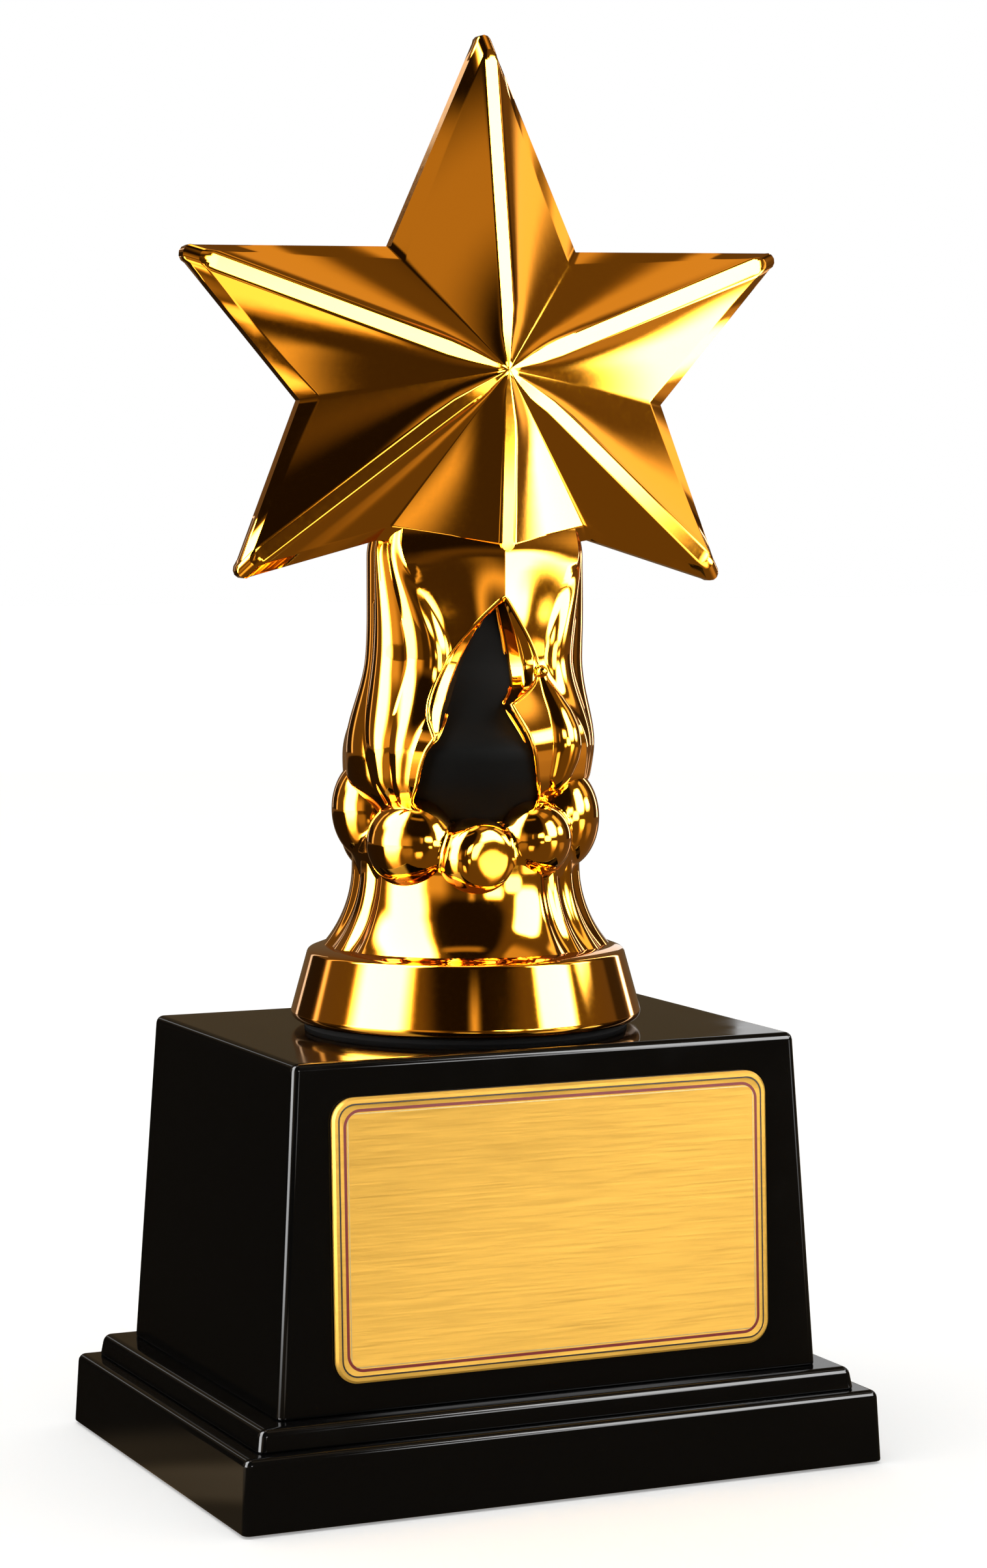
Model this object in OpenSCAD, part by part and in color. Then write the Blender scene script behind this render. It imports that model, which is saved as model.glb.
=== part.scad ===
// Star trophy: a gold figure of two cast half shells (a star that runs down into a reeded column),
// a collar of beads, a flared stem and a foot disc, drawn down by one tie rod onto a black
// three-tier wooden base with an engraving plate.
// Millimetres, +Z up, front towards -Y, origin at the bottom centre of the base.

/* [Base] */
// Width of the plinth, the lowest tier, at its bottom edge
plinth_w = 120; // [110:1:160]
// Depth of the plinth at its bottom edge
plinth_d = 88.4; // [84:0.2:120]
// Height of the plinth
plinth_h = 12.6; // [11:0.1:25]
// How much each plinth and step face leans in over its height
tier_draft = 0.6; // [0:0.1:1.5]
// Width of the thin step board between the plinth and the block
step_w = 112.2; // [104:0.2:118]
// Depth of the step board
step_d = 82; // [75:0.2:86]
// Height of the step board
step_h = 3.9; // [2.5:0.1:10]
// Width of the tapered block at its bottom
block_w = 101.6; // [95:0.2:110]
// Depth of the tapered block at its bottom
block_d = 72.8; // [68:0.2:80]
// Height of the tapered block
block_h = 59; // [56:0.5:100]
// How much each face of the block leans in over its height, on the width
block_lean_w = 3.6; // [0:0.1:6]
// The same, on the depth
block_lean_d = 2.2; // [0:0.1:5]
// Radius of the rounded edges of the lacquered tiers
edge_r = 1.3; // [0.6:0.1:2.5]
// Thickness of the felt under the plinth
felt_t = 1.2; // [0.8:0.1:3]
// How far the felt stands below the plinth
felt_proud = 0.4; // [0.2:0.1:0.8]
// Bare margin of the plinth around the felt
felt_margin = 5; // [3:0.5:12]

/* [Name plate] */
// Width of the engraving plate
plate_w = 81.6; // [50:0.2:90]
// Height of the engraving plate
plate_h = 47.8; // [25:0.2:52]
// Thickness of the engraving plate
plate_t = 0.9; // [0.5:0.1:2]
// Corner radius of the engraving plate
plate_corner_r = 4; // [1:0.5:8]
// Width of the bevel round the plate's face
plate_bevel = 0.4; // [0.1:0.05:0.6]
// Distance of the engraved line from the plate's edge
line_inset = 1.9; // [1.2:0.1:5]
// Width of the engraved line
line_w = 0.5; // [0.3:0.1:1]
// Depth of the engraved line
line_depth = 0.15; // [0.05:0.05:0.3]
// Thickness of the adhesive tape behind the plate
tape_t = 0.3; // [0.1:0.1:1]
// How far the tape stays back from the plate's edge
tape_margin = 1.5; // [0.5:0.5:5]

/* [Foot disc and stem] */
// Radius of the foot disc at its widest, near the bottom
foot_r = 31.2; // [28:0.2:34]
// Radius of the foot disc at the top of its cone
foot_shoulder_r = 28.4; // [27.4:0.2:30]
// Height of the foot disc
foot_h = 13.7; // [10:0.1:20]
// Thickness of the black gasket under the foot disc
gasket_t = 0.8; // [0.4:0.1:3]
// How far the gasket stays back from the foot disc's bottom edge
gasket_inset = 1; // [0.4:0.1:3]
// Radius of the stem where it stands on the foot disc
stem_foot_r = 25.5; // [23:0.1:26.5]
// Radius of the stem at its waist
stem_waist_r = 20.3; // [18:0.1:22]
// Height of the stem
stem_h = 14; // [10:0.5:30]
// Wall of the stem, the foot disc and the collar
cast_wall = 2.6; // [1.6:0.1:4]

/* [Bead collar] */
// Number of beads round the collar
bead_count = 9; // [8:1:14]
// Radius of the circle through the bead centres
bead_circle_r = 17.6; // [16.5:0.1:19]
// Radius of a bead along the collar and outwards
bead_r = 6.3; // [4.5:0.1:7]
// How much taller the beads at the sides are than those in front
bead_stretch = 2.4; // [0:0.1:4]
// How far the row of beads dips in front and behind, and rises at the sides
garland_dip = 3.7; // [0:0.1:5]
// Height of the collar ring
collar_h = 7; // [5:0.5:12]
// Turn of the lowest bead to the left of the front, in degrees
collar_turn = 17; // [0:1:30]

/* [Column] */
// Height of the column from the collar ring to the middle of the star
column_h = 80; // [70:0.5:110]
// Half width of the column's upper part
column_a = 20.6; // [18:0.1:23]
// Half depth of the column's upper part
column_b = 12.2; // [11:0.1:14]
// Radius of the column's bulge above the beads
bulge_r = 22.9; // [21:0.1:25]
// Radius of the column where it stands in the collar
neck_r = 17.2; // [16.5:0.1:18]
// How far the column and star lean forward of the foot
column_lean = 4.4; // [0:0.1:5]
// Number of reeds round the sides and back of the column
reed_count = 18; // [12:1:24]
// Depth of the grooves between the reeds
reed_depth = 0.9; // [0.2:0.1:1.2]
// Half angle of the smooth two-sided prow at the front of the column, in degrees
prow_angle = 44; // [30:1:50]
// Wall of the cast half shells
shell_wall = 2.2; // [1.6:0.1:2.6]

/* [Niche] */
// Height of the flame-shaped niche
niche_h = 40; // [30:0.5:42]
// Scale of the niche's width
niche_wide = 1; // [0.7:0.05:1.1]
// Depth of the niche's splayed upper faces behind the surface of the column
splay_depth = 4.5; // [3:0.1:5.5]
// Thickness of the lip that the splayed faces are cut in
lip_t = 2; // [1.2:0.1:3]
// Gap between the black core and the inside of the shells
core_gap = 0.4; // [0.2:0.1:1]

/* [Star] */
// Height of the top tip above the middle of the star
tip_top = 58.4; // [50:0.2:75]
// Half width of the star across the upper side tips
tip_side_x = 57; // [50:0.2:62]
// Height of the upper side tips above the middle
tip_side_z = 20.6; // [15:0.2:26]
// Half width of the star across the lower tips
tip_low_x = 46.6; // [38:0.2:52]
// Depth of the lower tips below the middle
tip_low_z = 36.8; // [30:0.2:42]
// Radius of the rounded tips
tip_r = 1.7; // [1:0.1:2.5]
// Height of the ridges' meeting point in front of the star's middle plane
star_front = 11.6; // [8:0.1:14]
// The same, behind the middle plane
star_back = 10; // [8:0.1:12]
// How far the rim of the facets stands in front of the middle plane
rim_t = 2.8; // [1.5:0.1:4]
// Radius that softens the ridges
ridge_r = 0.7; // [0.3:0.1:1.2]

/* [Tie rod] */
// Diameter of the threaded tie rod
rod_d = 6; // [5:0.5:8]
// Clearance round the rod in the pieces that it passes through
rod_clear = 0.3; // [0.1:0.05:0.8]
// Thread play between the rod and its nut and anchor, on the radius
thread_play = 0.05; // [0.02:0.01:0.1]
// Thickness of the hexagon nut
nut_h = 5; // [3:0.5:6.5]
// Width of the nut across its flats
nut_af = 10; // [9.5:0.5:13]
// Outer diameter of the flat washer
washer_d = 18; // [14:0.5:20]
// Thickness of the flat washer
washer_t = 1.6; // [1:0.1:2]
// Thickness of the spring washer
spring_t = 1.5; // [1:0.1:2]
// Radius of the anchor disc that the rod screws into
anchor_r = 12; // [10:0.5:13]
// Thickness of the anchor disc
anchor_t = 5; // [4:0.5:8]

/* [Base screws] */
// Diameter of the wood screws that hold the tiers together
screw_d = 4; // [3:0.5:5]
// Length of the wood screws
screw_l = 38; // [30:1:45]
// Distance between the screws across the width
screw_span_x = 72; // [60:1:84]
// Distance between the screws across the depth
screw_span_y = 46; // [40:1:56]

/* [Hidden] */

gold = "goldenrod";
black = [0.06, 0.06, 0.06];
steel = "silver";

$fn = 96;
eps = 0.01;            // overshoot of a cut past a face
hull_fn = 24;          // facets of the spheres inside hulls
fit = 0.1;             // play between pieces that slip into each other
seat = 0.15;           // gap between a bead and the pieces behind it
ease = 0.35;           // eased bottom edge of each lacquered tier

// Heights of the stack, from the ground up
plinth_z = felt_proud;
step_z = plinth_z + plinth_h;
block_z = step_z + step_h;
gasket_z = block_z + block_h;
foot_z = gasket_z + gasket_t;
stem_z = foot_z + foot_h;
collar_z = stem_z + stem_h;
neck_z = collar_z + collar_h;
star_z = neck_z + column_h;

// The figure stands a little behind the base's middle, and its top leans forward again
foot_y = 1.5;
star_y = foot_y + 0.5 - column_lean - 3.1;

// ---------------------------------------------------------------- small helpers

function mix(a, b, t) = a + (b - a) * t;
function clamp01(t) = max(0, min(1, t));
function smooth(t) = let (c = clamp01(t)) c * c * (3 - 2 * c);
function arc(cx, cy, r, from, to, n = 6) =
    [for (i = [0:n]) let (a = mix(from, to, i / n)) [cx + r * cos(a), cy + r * sin(a)]];

// Closed solid through rings of equal length, from the lowest ring to the highest
module loft(rings) {
    n = len(rings[0]);
    rows = len(rings);
    points = [for (ring = rings) each ring];
    sides = [for (j = [0:rows - 2]) for (i = [0:n - 1]) let (k = (i + 1) % n) each [
        [j * n + i, (j + 1) * n + i, (j + 1) * n + k],
        [j * n + i, (j + 1) * n + k, j * n + k]
    ]];
    floor_face = [for (i = [0:n - 1]) i];
    roof_face = [for (i = [n - 1:-1:0]) (rows - 1) * n + i];
    polyhedron(points, concat(sides, [floor_face, roof_face]), convexity = 6);
}

module at_foot() translate([0, foot_y, 0]) children();

// ---------------------------------------------------------------- base

// One lacquered tier: w by d at the bottom, leaning in by lean_w and lean_d on each face
module tier(w, d, h, lean_w, lean_d) hull() for (sx = [-1, 1], sy = [-1, 1]) {
    translate([sx * (w / 2 - edge_r - lean_w), sy * (d / 2 - edge_r - lean_d), h - edge_r])
        sphere(r = edge_r, $fn = hull_fn);
    translate([sx * (w / 2 - edge_r), sy * (d / 2 - edge_r), 0])
        cylinder(r1 = edge_r - ease, r2 = edge_r, h = ease, $fn = hull_fn);
}

module rod_hole(z0, z1) at_foot() translate([0, 0, z0])
    cylinder(d = rod_d + 2 * rod_clear, h = z1 - z0);

module at_screws() for (sx = [-1, 1], sy = [-1, 1])
    translate([sx * screw_span_x / 2, sy * screw_span_y / 2, 0]) children();

felt_w = plinth_w - 2 * felt_margin;
felt_d = plinth_d - 2 * felt_margin;
felt_roof = felt_t;                                   // underside of the plinth, inside the felt recess
nut_pocket_r = max(washer_d / 2, nut_af / sqrt(3)) + 1.5;
washer_z = felt_roof + 0.8 + nut_h + spring_t;        // underside of the flat washer
pocket_roof = washer_z + washer_t;
screw_head_r = screw_d;
screw_head_h = screw_d * 0.6;
screw_z = felt_roof + 0.3;                            // flat of the countersunk heads

module plinth() color(black) difference() {
    translate([0, 0, plinth_z]) tier(plinth_w, plinth_d, plinth_h, tier_draft, tier_draft);
    translate([0, 0, (plinth_z - 1 + felt_roof) / 2])
        cube([felt_w, felt_d, felt_roof - plinth_z + 1], center = true);
    rod_hole(0, step_z + 1);
    at_foot() cylinder(r = nut_pocket_r, h = pocket_roof);
    at_screws() rotate_extrude() polygon([
        [0, 0], [screw_head_r + fit, 0], [screw_head_r + fit, screw_z],
        [screw_d / 2 + fit, screw_z + screw_head_h], [screw_d / 2 + fit, step_z + 1], [0, step_z + 1]
    ]);
}

module step_board() color(black) difference() {
    translate([0, 0, step_z]) tier(step_w, step_d, step_h, tier_draft, tier_draft);
    rod_hole(step_z - 1, block_z + 1);
    at_screws() translate([0, 0, step_z - 1]) cylinder(d = screw_d + 2 * fit, h = step_h + 2);
}

module base_block() color(black) difference() {
    translate([0, 0, block_z]) tier(block_w, block_d, block_h, block_lean_w, block_lean_d);
    rod_hole(block_z - 1, gasket_z + 1);
    at_screws() translate([0, 0, block_z - 1])
        cylinder(d = screw_d + 2 * fit, h = screw_z + screw_l + 3 - block_z);
}

module base_screws() color(steel) at_screws() translate([0, 0, screw_z]) {
    difference() {
        cylinder(r1 = screw_head_r, r2 = screw_d / 2, h = screw_head_h);
        for (a = [0, 90]) rotate([0, 0, a]) cube([screw_d * 1.1, screw_d * 0.2, screw_head_h], center = true);
    }
    translate([0, 0, screw_head_h]) cylinder(d = screw_d, h = screw_l - screw_head_h - screw_d);
    translate([0, 0, screw_l - screw_d]) cylinder(d1 = screw_d, d2 = screw_d * 0.1, h = screw_d);
}

module felt_pad() color([0.1, 0.25, 0.14])
    translate([0, 0, felt_t / 2])
        cube([felt_w - 2 * fit, felt_d - 2 * fit, felt_t], center = true);

// ---------------------------------------------------------------- name plate

plate_tilt = atan(block_lean_d / (block_h - edge_r)); // the front face leans back by this
glue = 0.02;                                           // film between the tape and the lacquer
plate_up = block_h / 2 - 0.4;                          // middle of the plate above the block's bottom

// Puts a flat shape, drawn in X and Y with +Z outwards, on the front face of the block
module on_front(out) translate([0, -block_d / 2, block_z]) rotate([90 - plate_tilt, 0, 0])
    translate([0, plate_up / cos(plate_tilt), glue + out]) children();

// Rounded rectangle, centred
module rounded_rect(w, h, r) {
    square([w - 2 * r, h], center = true);
    square([w, h - 2 * r], center = true);
    for (sx = [-1, 1], sy = [-1, 1]) translate([sx * (w / 2 - r), sy * (h / 2 - r)]) circle(r = r);
}

// Rounded rectangle that stays back from the plate's edge by in
module plate_shape(in, r) rounded_rect(plate_w - 2 * in, plate_h - 2 * in, max(0.4, r));

line_r = plate_corner_r - line_inset / 2;
module line_ring(h) linear_extrude(h) difference() {
    plate_shape(line_inset, line_r);
    plate_shape(line_inset + line_w, line_r - line_w);
}

module name_plate() color(gold) on_front(tape_t) difference() {
    union() {
        linear_extrude(plate_t - plate_bevel) plate_shape(0, plate_corner_r);
        linear_extrude(plate_t) plate_shape(plate_bevel, plate_corner_r - plate_bevel);
    }
    translate([0, 0, plate_t - line_depth]) line_ring(1);
}

module plate_enamel() color([0.35, 0.05, 0.04])
    on_front(tape_t + plate_t - line_depth) line_ring(line_depth);

module plate_tape() color("white") on_front(0)
    linear_extrude(tape_t) plate_shape(tape_margin, plate_corner_r - tape_margin);

// ---------------------------------------------------------------- foot disc, gasket and stem

foot_bottom_r = foot_r - 1.4;
gasket_r = foot_bottom_r - gasket_inset;

module foot_gasket() color([0.03, 0.03, 0.03]) at_foot() translate([0, 0, gasket_z]) difference() {
    cylinder(r = gasket_r, h = gasket_t);
    translate([0, 0, -1]) cylinder(r = gasket_r - 7, h = gasket_t + 2);
}

// Outline of the foot disc: rounded toe, conical side, rounded shoulder and a low conical top
foot_toe = 1.4;
foot_shoulder = 1;
foot_outline = concat(
    [[0, 0]],
    arc(foot_r - foot_toe, foot_toe + 0.3, foot_toe, -80, 10),
    arc(foot_shoulder_r - foot_shoulder, foot_h - foot_shoulder - 0.8, foot_shoulder, 15, 75),
    [[stem_foot_r, foot_h], [0, foot_h]]
);

module foot_disc() color(gold) at_foot() translate([0, 0, foot_z]) difference() {
    rotate_extrude() polygon(foot_outline);
    // hollow underneath, round a boss for the rod
    translate([0, 0, -1]) difference() {
        cylinder(r = gasket_r - 7, h = foot_h - cast_wall + 1);
        cylinder(r = rod_d / 2 + 4, h = foot_h);
    }
    translate([0, 0, -1]) cylinder(d = rod_d + 2 * rod_clear, h = foot_h + 2);
}

// The stem flares to the foot on an arc that starts upright at the waist
stem_flare = stem_foot_r - stem_waist_r;
stem_arc_r = (stem_flare * stem_flare + stem_h * stem_h) / (2 * stem_flare);
function stem_r(z) = stem_waist_r + stem_arc_r - sqrt(pow(stem_arc_r, 2) - pow(stem_h - z, 2));
stem_steps = 12;
stem_curve = [for (i = [0:stem_steps]) [stem_r(i / stem_steps * stem_h), i / stem_steps * stem_h]];

fold_angles = [-84, -66, 24, 42, 62, 118, 150, 210, 242];   // soft upright folds, from the front
fold_r = 3.2;
fold_depth = 0.7;

module waist_stem() color(gold) at_foot() translate([0, 0, stem_z]) difference() {
    rotate_extrude() polygon(concat([[0, 0]], stem_curve, [[0, stem_h]]));
    // hollow, with a bored roof that carries the collar
    rotate_extrude() polygon(concat(
        [[0, -1], [stem_r(0) - cast_wall, -1]],
        [for (p = stem_curve) if (p[1] < stem_h - cast_wall) [p[0] - cast_wall, p[1]]],
        [[stem_waist_r - cast_wall, stem_h - cast_wall], [0, stem_h - cast_wall]]));
    translate([0, 0, -1]) cylinder(d = rod_d + 2 * rod_clear, h = stem_h + 2);
    // each fold is a tube bent along the flare, half sunk in it
    for (a = fold_angles) rotate([0, 0, a - 90]) translate([stem_waist_r + stem_arc_r, 0, stem_h])
        rotate([90, 0, 0]) rotate_extrude()
            translate([stem_arc_r - fold_r + fold_depth, 0]) circle(r = fold_r, $fn = 48);
}

// ---------------------------------------------------------------- column surface

// Heights are shares of the column's height above the neck
function bulge(t) = exp(-pow((t - 0.185) / 0.12, 2));
function upper(t) = smooth((t - 0.16) / 0.22);
function top_close(t) = smooth((t - 0.70) / 0.26);    // the column narrows and ends inside the star
function neck(t) = 1 - smooth(t / 0.115);

function half_w(t) = mix(mix(bulge_r - 1.4, column_a - 0.4, upper(t)) + 1.4 * bulge(t), neck_r, neck(t))
    * (1 - 0.78 * top_close(t));
function half_d(t) = mix(mix(bulge_r - 4, column_b, upper(t)) + 1.4 * bulge(t), neck_r, neck(t))
    * (1 - 0.75 * top_close(t));
function centre_y(t) = foot_y - column_lean * smooth((t - 0.02) / 0.45);

function oval_r(a, b, angle) = a * b / sqrt(pow(b * sin(angle), 2) + pow(a * cos(angle), 2));

// Front prow: two flat facets that meet in a ridge on the front line
function prow_r(t, angle) =
    let (edge = oval_r(half_w(t), half_d(t), prow_angle),
         ridge = mix(1, 1.03, upper(t)) * half_d(t),
         slope = (ridge - edge * cos(prow_angle)) / (edge * sin(prow_angle)))
    ridge / (cos(angle) + slope * abs(sin(angle)));

reed_pitch = (360 - 2 * prow_angle) / reed_count;

function reed_r(t, angle) = oval_r(half_w(t), half_d(t), angle)
    - reed_depth * (1 - neck(t)) * (1 - abs(sin(180 * (angle - prow_angle) / reed_pitch)));

// Angles of the ring's points, from the front line round to the left and back
reed_cuts = 3;
prow_cuts = 4;
ring_angles = concat(
    [for (i = [-prow_cuts:prow_cuts - 1]) prow_angle * i / prow_cuts],
    [for (i = [0:reed_count * reed_cuts - 1]) prow_angle + reed_pitch * i / reed_cuts]
);

function column_point(t, angle, grow) =
    let (r = grow + (abs(angle) < prow_angle ? prow_r(t, angle) : reed_r(t, angle)))
    [r * sin(angle), centre_y(t) - r * cos(angle), neck_z + t * column_h];

column_rows = [0, 0.03, 0.06, 0.09, 0.12, 0.15, 0.18, 0.215, 0.25, 0.29, 0.33, 0.37, 0.42, 0.5, 0.6, 0.7,
    0.75, 0.8, 0.85, 0.9, 0.96];

module column_outside() loft([for (t = column_rows) [for (a = ring_angles) column_point(t, a, 0)]]);

// Smooth oval offset of the column, used for its hollow and for the core.
// recess draws the upper part in further.
module column_inside(inset, from, to, steps, recess = 0) loft([
    for (i = [0:steps]) let (t = mix(from, to, i / steps), more = inset + recess * smooth((t - 0.19) / 0.06),
            a = half_w(t) - more - reed_depth, b = half_d(t) - more)
        [for (k = [0:31]) let (angle = k * 11.25, r = oval_r(a, b, angle))
            [r * sin(angle), centre_y(t) - r * cos(angle), neck_z + t * column_h]]
]);

// ---------------------------------------------------------------- niche

// Outline of the opening on the column's surface, [x, share of the height], from the point down the
// left side, along the foot and up the right side. The leaf on the right ends in a beak halfway up.
niche_edge = [
    [0, 1], [-4.2, 0.89], [-8.6, 0.76], [-12.4, 0.6], [-13.9, 0.48], [-13.2, 0.385], [-14.8, 0.315],
    [-15.4, 0.2], [-15, 0.08], [-8.6, 0.01], [-2, 0], [3, 0.01], [6.8, 0.08], [5.8, 0.2], [4.7, 0.3],
    [3.1, 0.41], [0.6, 0.525], [5.4, 0.585], [7.4, 0.64], [7.8, 0.7], [6, 0.8], [3.2, 0.9]
];
// The same points where the splayed faces end, in front of the black core
niche_inner = [
    [0.3, 0.95], [-2, 0.89], [-3.7, 0.77], [-6.6, 0.6], [-9.3, 0.47], [-11.8, 0.38], [-14.2, 0.31],
    [-14.9, 0.2], [-14.6, 0.09], [-8.6, 0.02], [-2, 0.01], [2.9, 0.02], [6.4, 0.09], [5.3, 0.2], [4.2, 0.3],
    [2.6, 0.41], [0.9, 0.53], [2.8, 0.585], [3, 0.65], [2.8, 0.7], [1.9, 0.8], [1, 0.88]
];
niche_mid = [-4.5, 0.6];                               // sees every point of both outlines
niche_z = neck_z + 1.1;

function niche_x(p) = p[0] * niche_wide;
function niche_height(p) = niche_z + p[1] * niche_h;
function wall_depth(s) = mix(shell_wall, splay_depth, smooth((s - 0.35) / 0.15));

// Surface of the smooth column in front, at x and height z
function front_y(x, z) = let (t = (z - neck_z) / column_h)
    centre_y(t) - half_d(t) * sqrt(max(0.05, 1 - pow(x / half_w(t), 2)));

function niche_ring(outline, far, deep) = [for (p = outline)
    let (x = niche_x(p), z = niche_height(p))
    [x, far ? -45 : front_y(x, z) + deep * wall_depth(p[1]), z]];

function grown(outline, by) = [for (p = outline)
    let (d = [p[0] - niche_mid[0], (p[1] - niche_mid[1]) * niche_h], far = d * (1 + by / norm(d)))
    [niche_mid[0] + far[0], max(0, niche_mid[1] + far[1] / niche_h)]];

// Closed solid through rings that stand one behind the other, with fans over both ends
module niche_loft(rings) {
    n = len(rings[0]);
    rows = len(rings);
    x = niche_x(niche_mid);
    z = niche_height(niche_mid);
    points = concat([for (ring = rings) each ring], [[x, -45, z], [x, rings[rows - 1][3][1], z]]);
    sides = [for (j = [0:rows - 2]) for (i = [0:n - 1]) let (k = (i + 1) % n) each [
        [j * n + i, j * n + k, (j + 1) * n + k],
        [j * n + i, (j + 1) * n + k, (j + 1) * n + i]
    ]];
    ends = [for (i = [0:n - 1]) let (k = (i + 1) % n, last = (rows - 1) * n) each [
        [rows * n, k, i], [rows * n + 1, last + i, last + k]
    ]];
    polyhedron(points, concat(sides, ends), convexity = 8);
}

module niche_cutter() niche_loft([
    niche_ring(niche_edge, true, 0),
    niche_ring(niche_edge, false, 0),
    niche_ring(niche_inner, false, 1),
    niche_ring(niche_inner, false, 2.6)
]);

// Thick rim of the opening, behind the surface
module niche_lip() intersection() {
    niche_loft([
        niche_ring(grown(niche_edge, lip_t), true, 0),
        niche_ring(grown(niche_edge, lip_t), false, 1)
    ]);
    column_outside();
}

// Pointed bud to the right of the opening, with a knot at its top
module bud() {
    at = [[8.6, 0.63, 0.9], [10.6, 0.5, 2.6], [11.6, 0.34, 3.4], [10.6, 0.2, 2.6]];
    for (i = [0:len(at) - 2]) hull() for (p = [at[i], at[i + 1]]) {
        z = niche_height(p);
        translate([p[0], front_y(p[0], z) + p[2] * 0.45, z]) sphere(r = p[2], $fn = 20);
    }
    translate([8.3, front_y(8.3, niche_height([0, 0.66])) + 0.2, niche_height([0, 0.66])])
        sphere(r = 1.1, $fn = 20);
}

// ---------------------------------------------------------------- star

// Outline corners in the star's plane, from the middle of the star: [x, z]
valley_top = [0.31 * tip_side_x, 1.03 * tip_side_z];
valley_side = [0.607 * tip_side_x, -0.147 * tip_low_z];
valley_low = [0.44 * tip_low_x, -0.80 * tip_low_z];
tip_up = [0, tip_top];
tip_side = [tip_side_x, tip_side_z];
tip_low = [tip_low_x, -tip_low_z];
tip_foot = [0, -1.12 * tip_low_z];

function inward(p, d) = p * (1 - d / norm(p));
function in_star(p, y) = [p[0], star_y + y, star_z + p[1]];
function mirrored(p) = [-p[0], p[1]];

module ball(p, r) translate(p) sphere(r = r, $fn = hull_fn);

// One ray between two valleys. inset draws the whole ray in, for the hollow.
module ray(tip, va, vb, inset = 0, tip_y = 0) {
    soft = inset > 0 ? 0.3 : ridge_r;
    rim_in = 2.4;
    hull() {
        ball(in_star([0, 0], -star_front + soft * 1.4 + inset * 1.1), soft);
        ball(in_star([0, 0], star_back - soft * 1.4 - inset * 1.1), soft);
        for (v = [va, vb]) {
            rim = inward(v, rim_in + soft + inset);
            depth = max(0.5, rim_t - soft / 2 - inset / 2);
            ball(in_star(inward(v, soft + inset), 0), soft);
            ball(in_star(rim, -depth), soft);
            ball(in_star(rim, depth), soft);
        }
        ball(in_star(inward(tip, tip_r + inset * 3.4), tip_y), inset > 0 ? 0.6 : tip_r);
    }
}

module rays(inset = 0) {
    ray(tip_up, valley_top, mirrored(valley_top), inset);
    ray(tip_side, valley_top, valley_side, inset);
    ray(mirrored(tip_side), mirrored(valley_top), mirrored(valley_side), inset);
    ray(tip_low, valley_side, valley_low, inset);
    ray(mirrored(tip_low), mirrored(valley_side), mirrored(valley_low), inset);
}

// The sixth ray points down: its ridge runs on as the ridge of the column's prow
module foot_ray(inset = 0) {
    soft = inset > 0 ? 0.3 : ridge_r;
    low_y = centre_y(0.5) - 1.03 * column_b - star_y;
    hull() {
        ball(in_star([0, 0], -star_front + soft * 1.4 + inset * 1.1), soft);
        ball(in_star([0, 0], star_back - soft * 1.4 - inset * 1.1), soft);
        for (v = [valley_low, mirrored(valley_low)]) {
            ball(in_star(inward(v, 6 + inset), -6 + inset), soft);
            ball(in_star(inward(v, 3 + inset), 0), soft);
            ball(in_star(inward(v, 6 + inset), 6 - inset), soft);
        }
        ball(in_star(inward(tip_foot, inset * 3), low_y + soft + 0.3 + inset), soft);
        ball(in_star(inward(tip_foot, inset * 3), 6), soft);
    }
}

// ---------------------------------------------------------------- cast half shells

floor_t = 2.4;
parting_y = star_y;
spigot_r = 13.6;
spigot_h = 4;

module figure_solid() {
    rays();
    foot_ray();
    column_outside();
    at_foot() translate([0, 0, neck_z - spigot_h]) cylinder(r = spigot_r, h = spigot_h + 0.5);
}

module figure_hollow() {
    rays(shell_wall);
    foot_ray(shell_wall);
    column_inside(shell_wall, floor_t / column_h, 0.9, 14);
    at_foot() translate([0, 0, neck_z - spigot_h - 1])
        cylinder(r = rod_d / 2 + 3, h = spigot_h + floor_t + 2);
}

module half_space(side) translate([-150, side < 0 ? parting_y - 300 : parting_y, 0])
    cube([300, 300, 400]);

module shell_half(side) intersection() {
    difference() {
        figure_solid();
        figure_hollow();
    }
    half_space(side);
}

module figure_front() color(gold) difference() {
    union() {
        shell_half(-1);
        niche_lip();
        difference() {
            bud();
            figure_hollow();
        }
    }
    niche_cutter();
}

module figure_back() color(gold) shell_half(1);

// ---------------------------------------------------------------- black core behind the niche

anchor_z = neck_z + floor_t;

module core_insert() color(black) difference() {
    column_inside(shell_wall + core_gap, floor_t / column_h, 0.62, 12, splay_depth - shell_wall + 0.3);
    // pocket over the anchor disc and the end of the rod
    at_foot() translate([0, 0, neck_z]) {
        cylinder(r = anchor_r + core_gap, h = floor_t + anchor_t + core_gap);
        cylinder(r = rod_d / 2 + 2, h = floor_t + anchor_t + 8);
    }
}

// ---------------------------------------------------------------- bead collar

function bead_angle(i) = i * 360 / bead_count;
function bead_z(i) = collar_h - 0.7 - garland_dip * cos(2 * bead_angle(i));
function bead_tall(i) = bead_r + bead_stretch * pow(sin(bead_angle(i)), 2);

// Bead: an egg, round in plan and of the given half height
module bead(half_h) rotate_extrude($fn = 48) intersection() {
    scale([bead_r, half_h]) circle(r = 1, $fn = 48);
    translate([0, -half_h]) square([bead_r + 1, 2 * half_h]);
}

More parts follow.
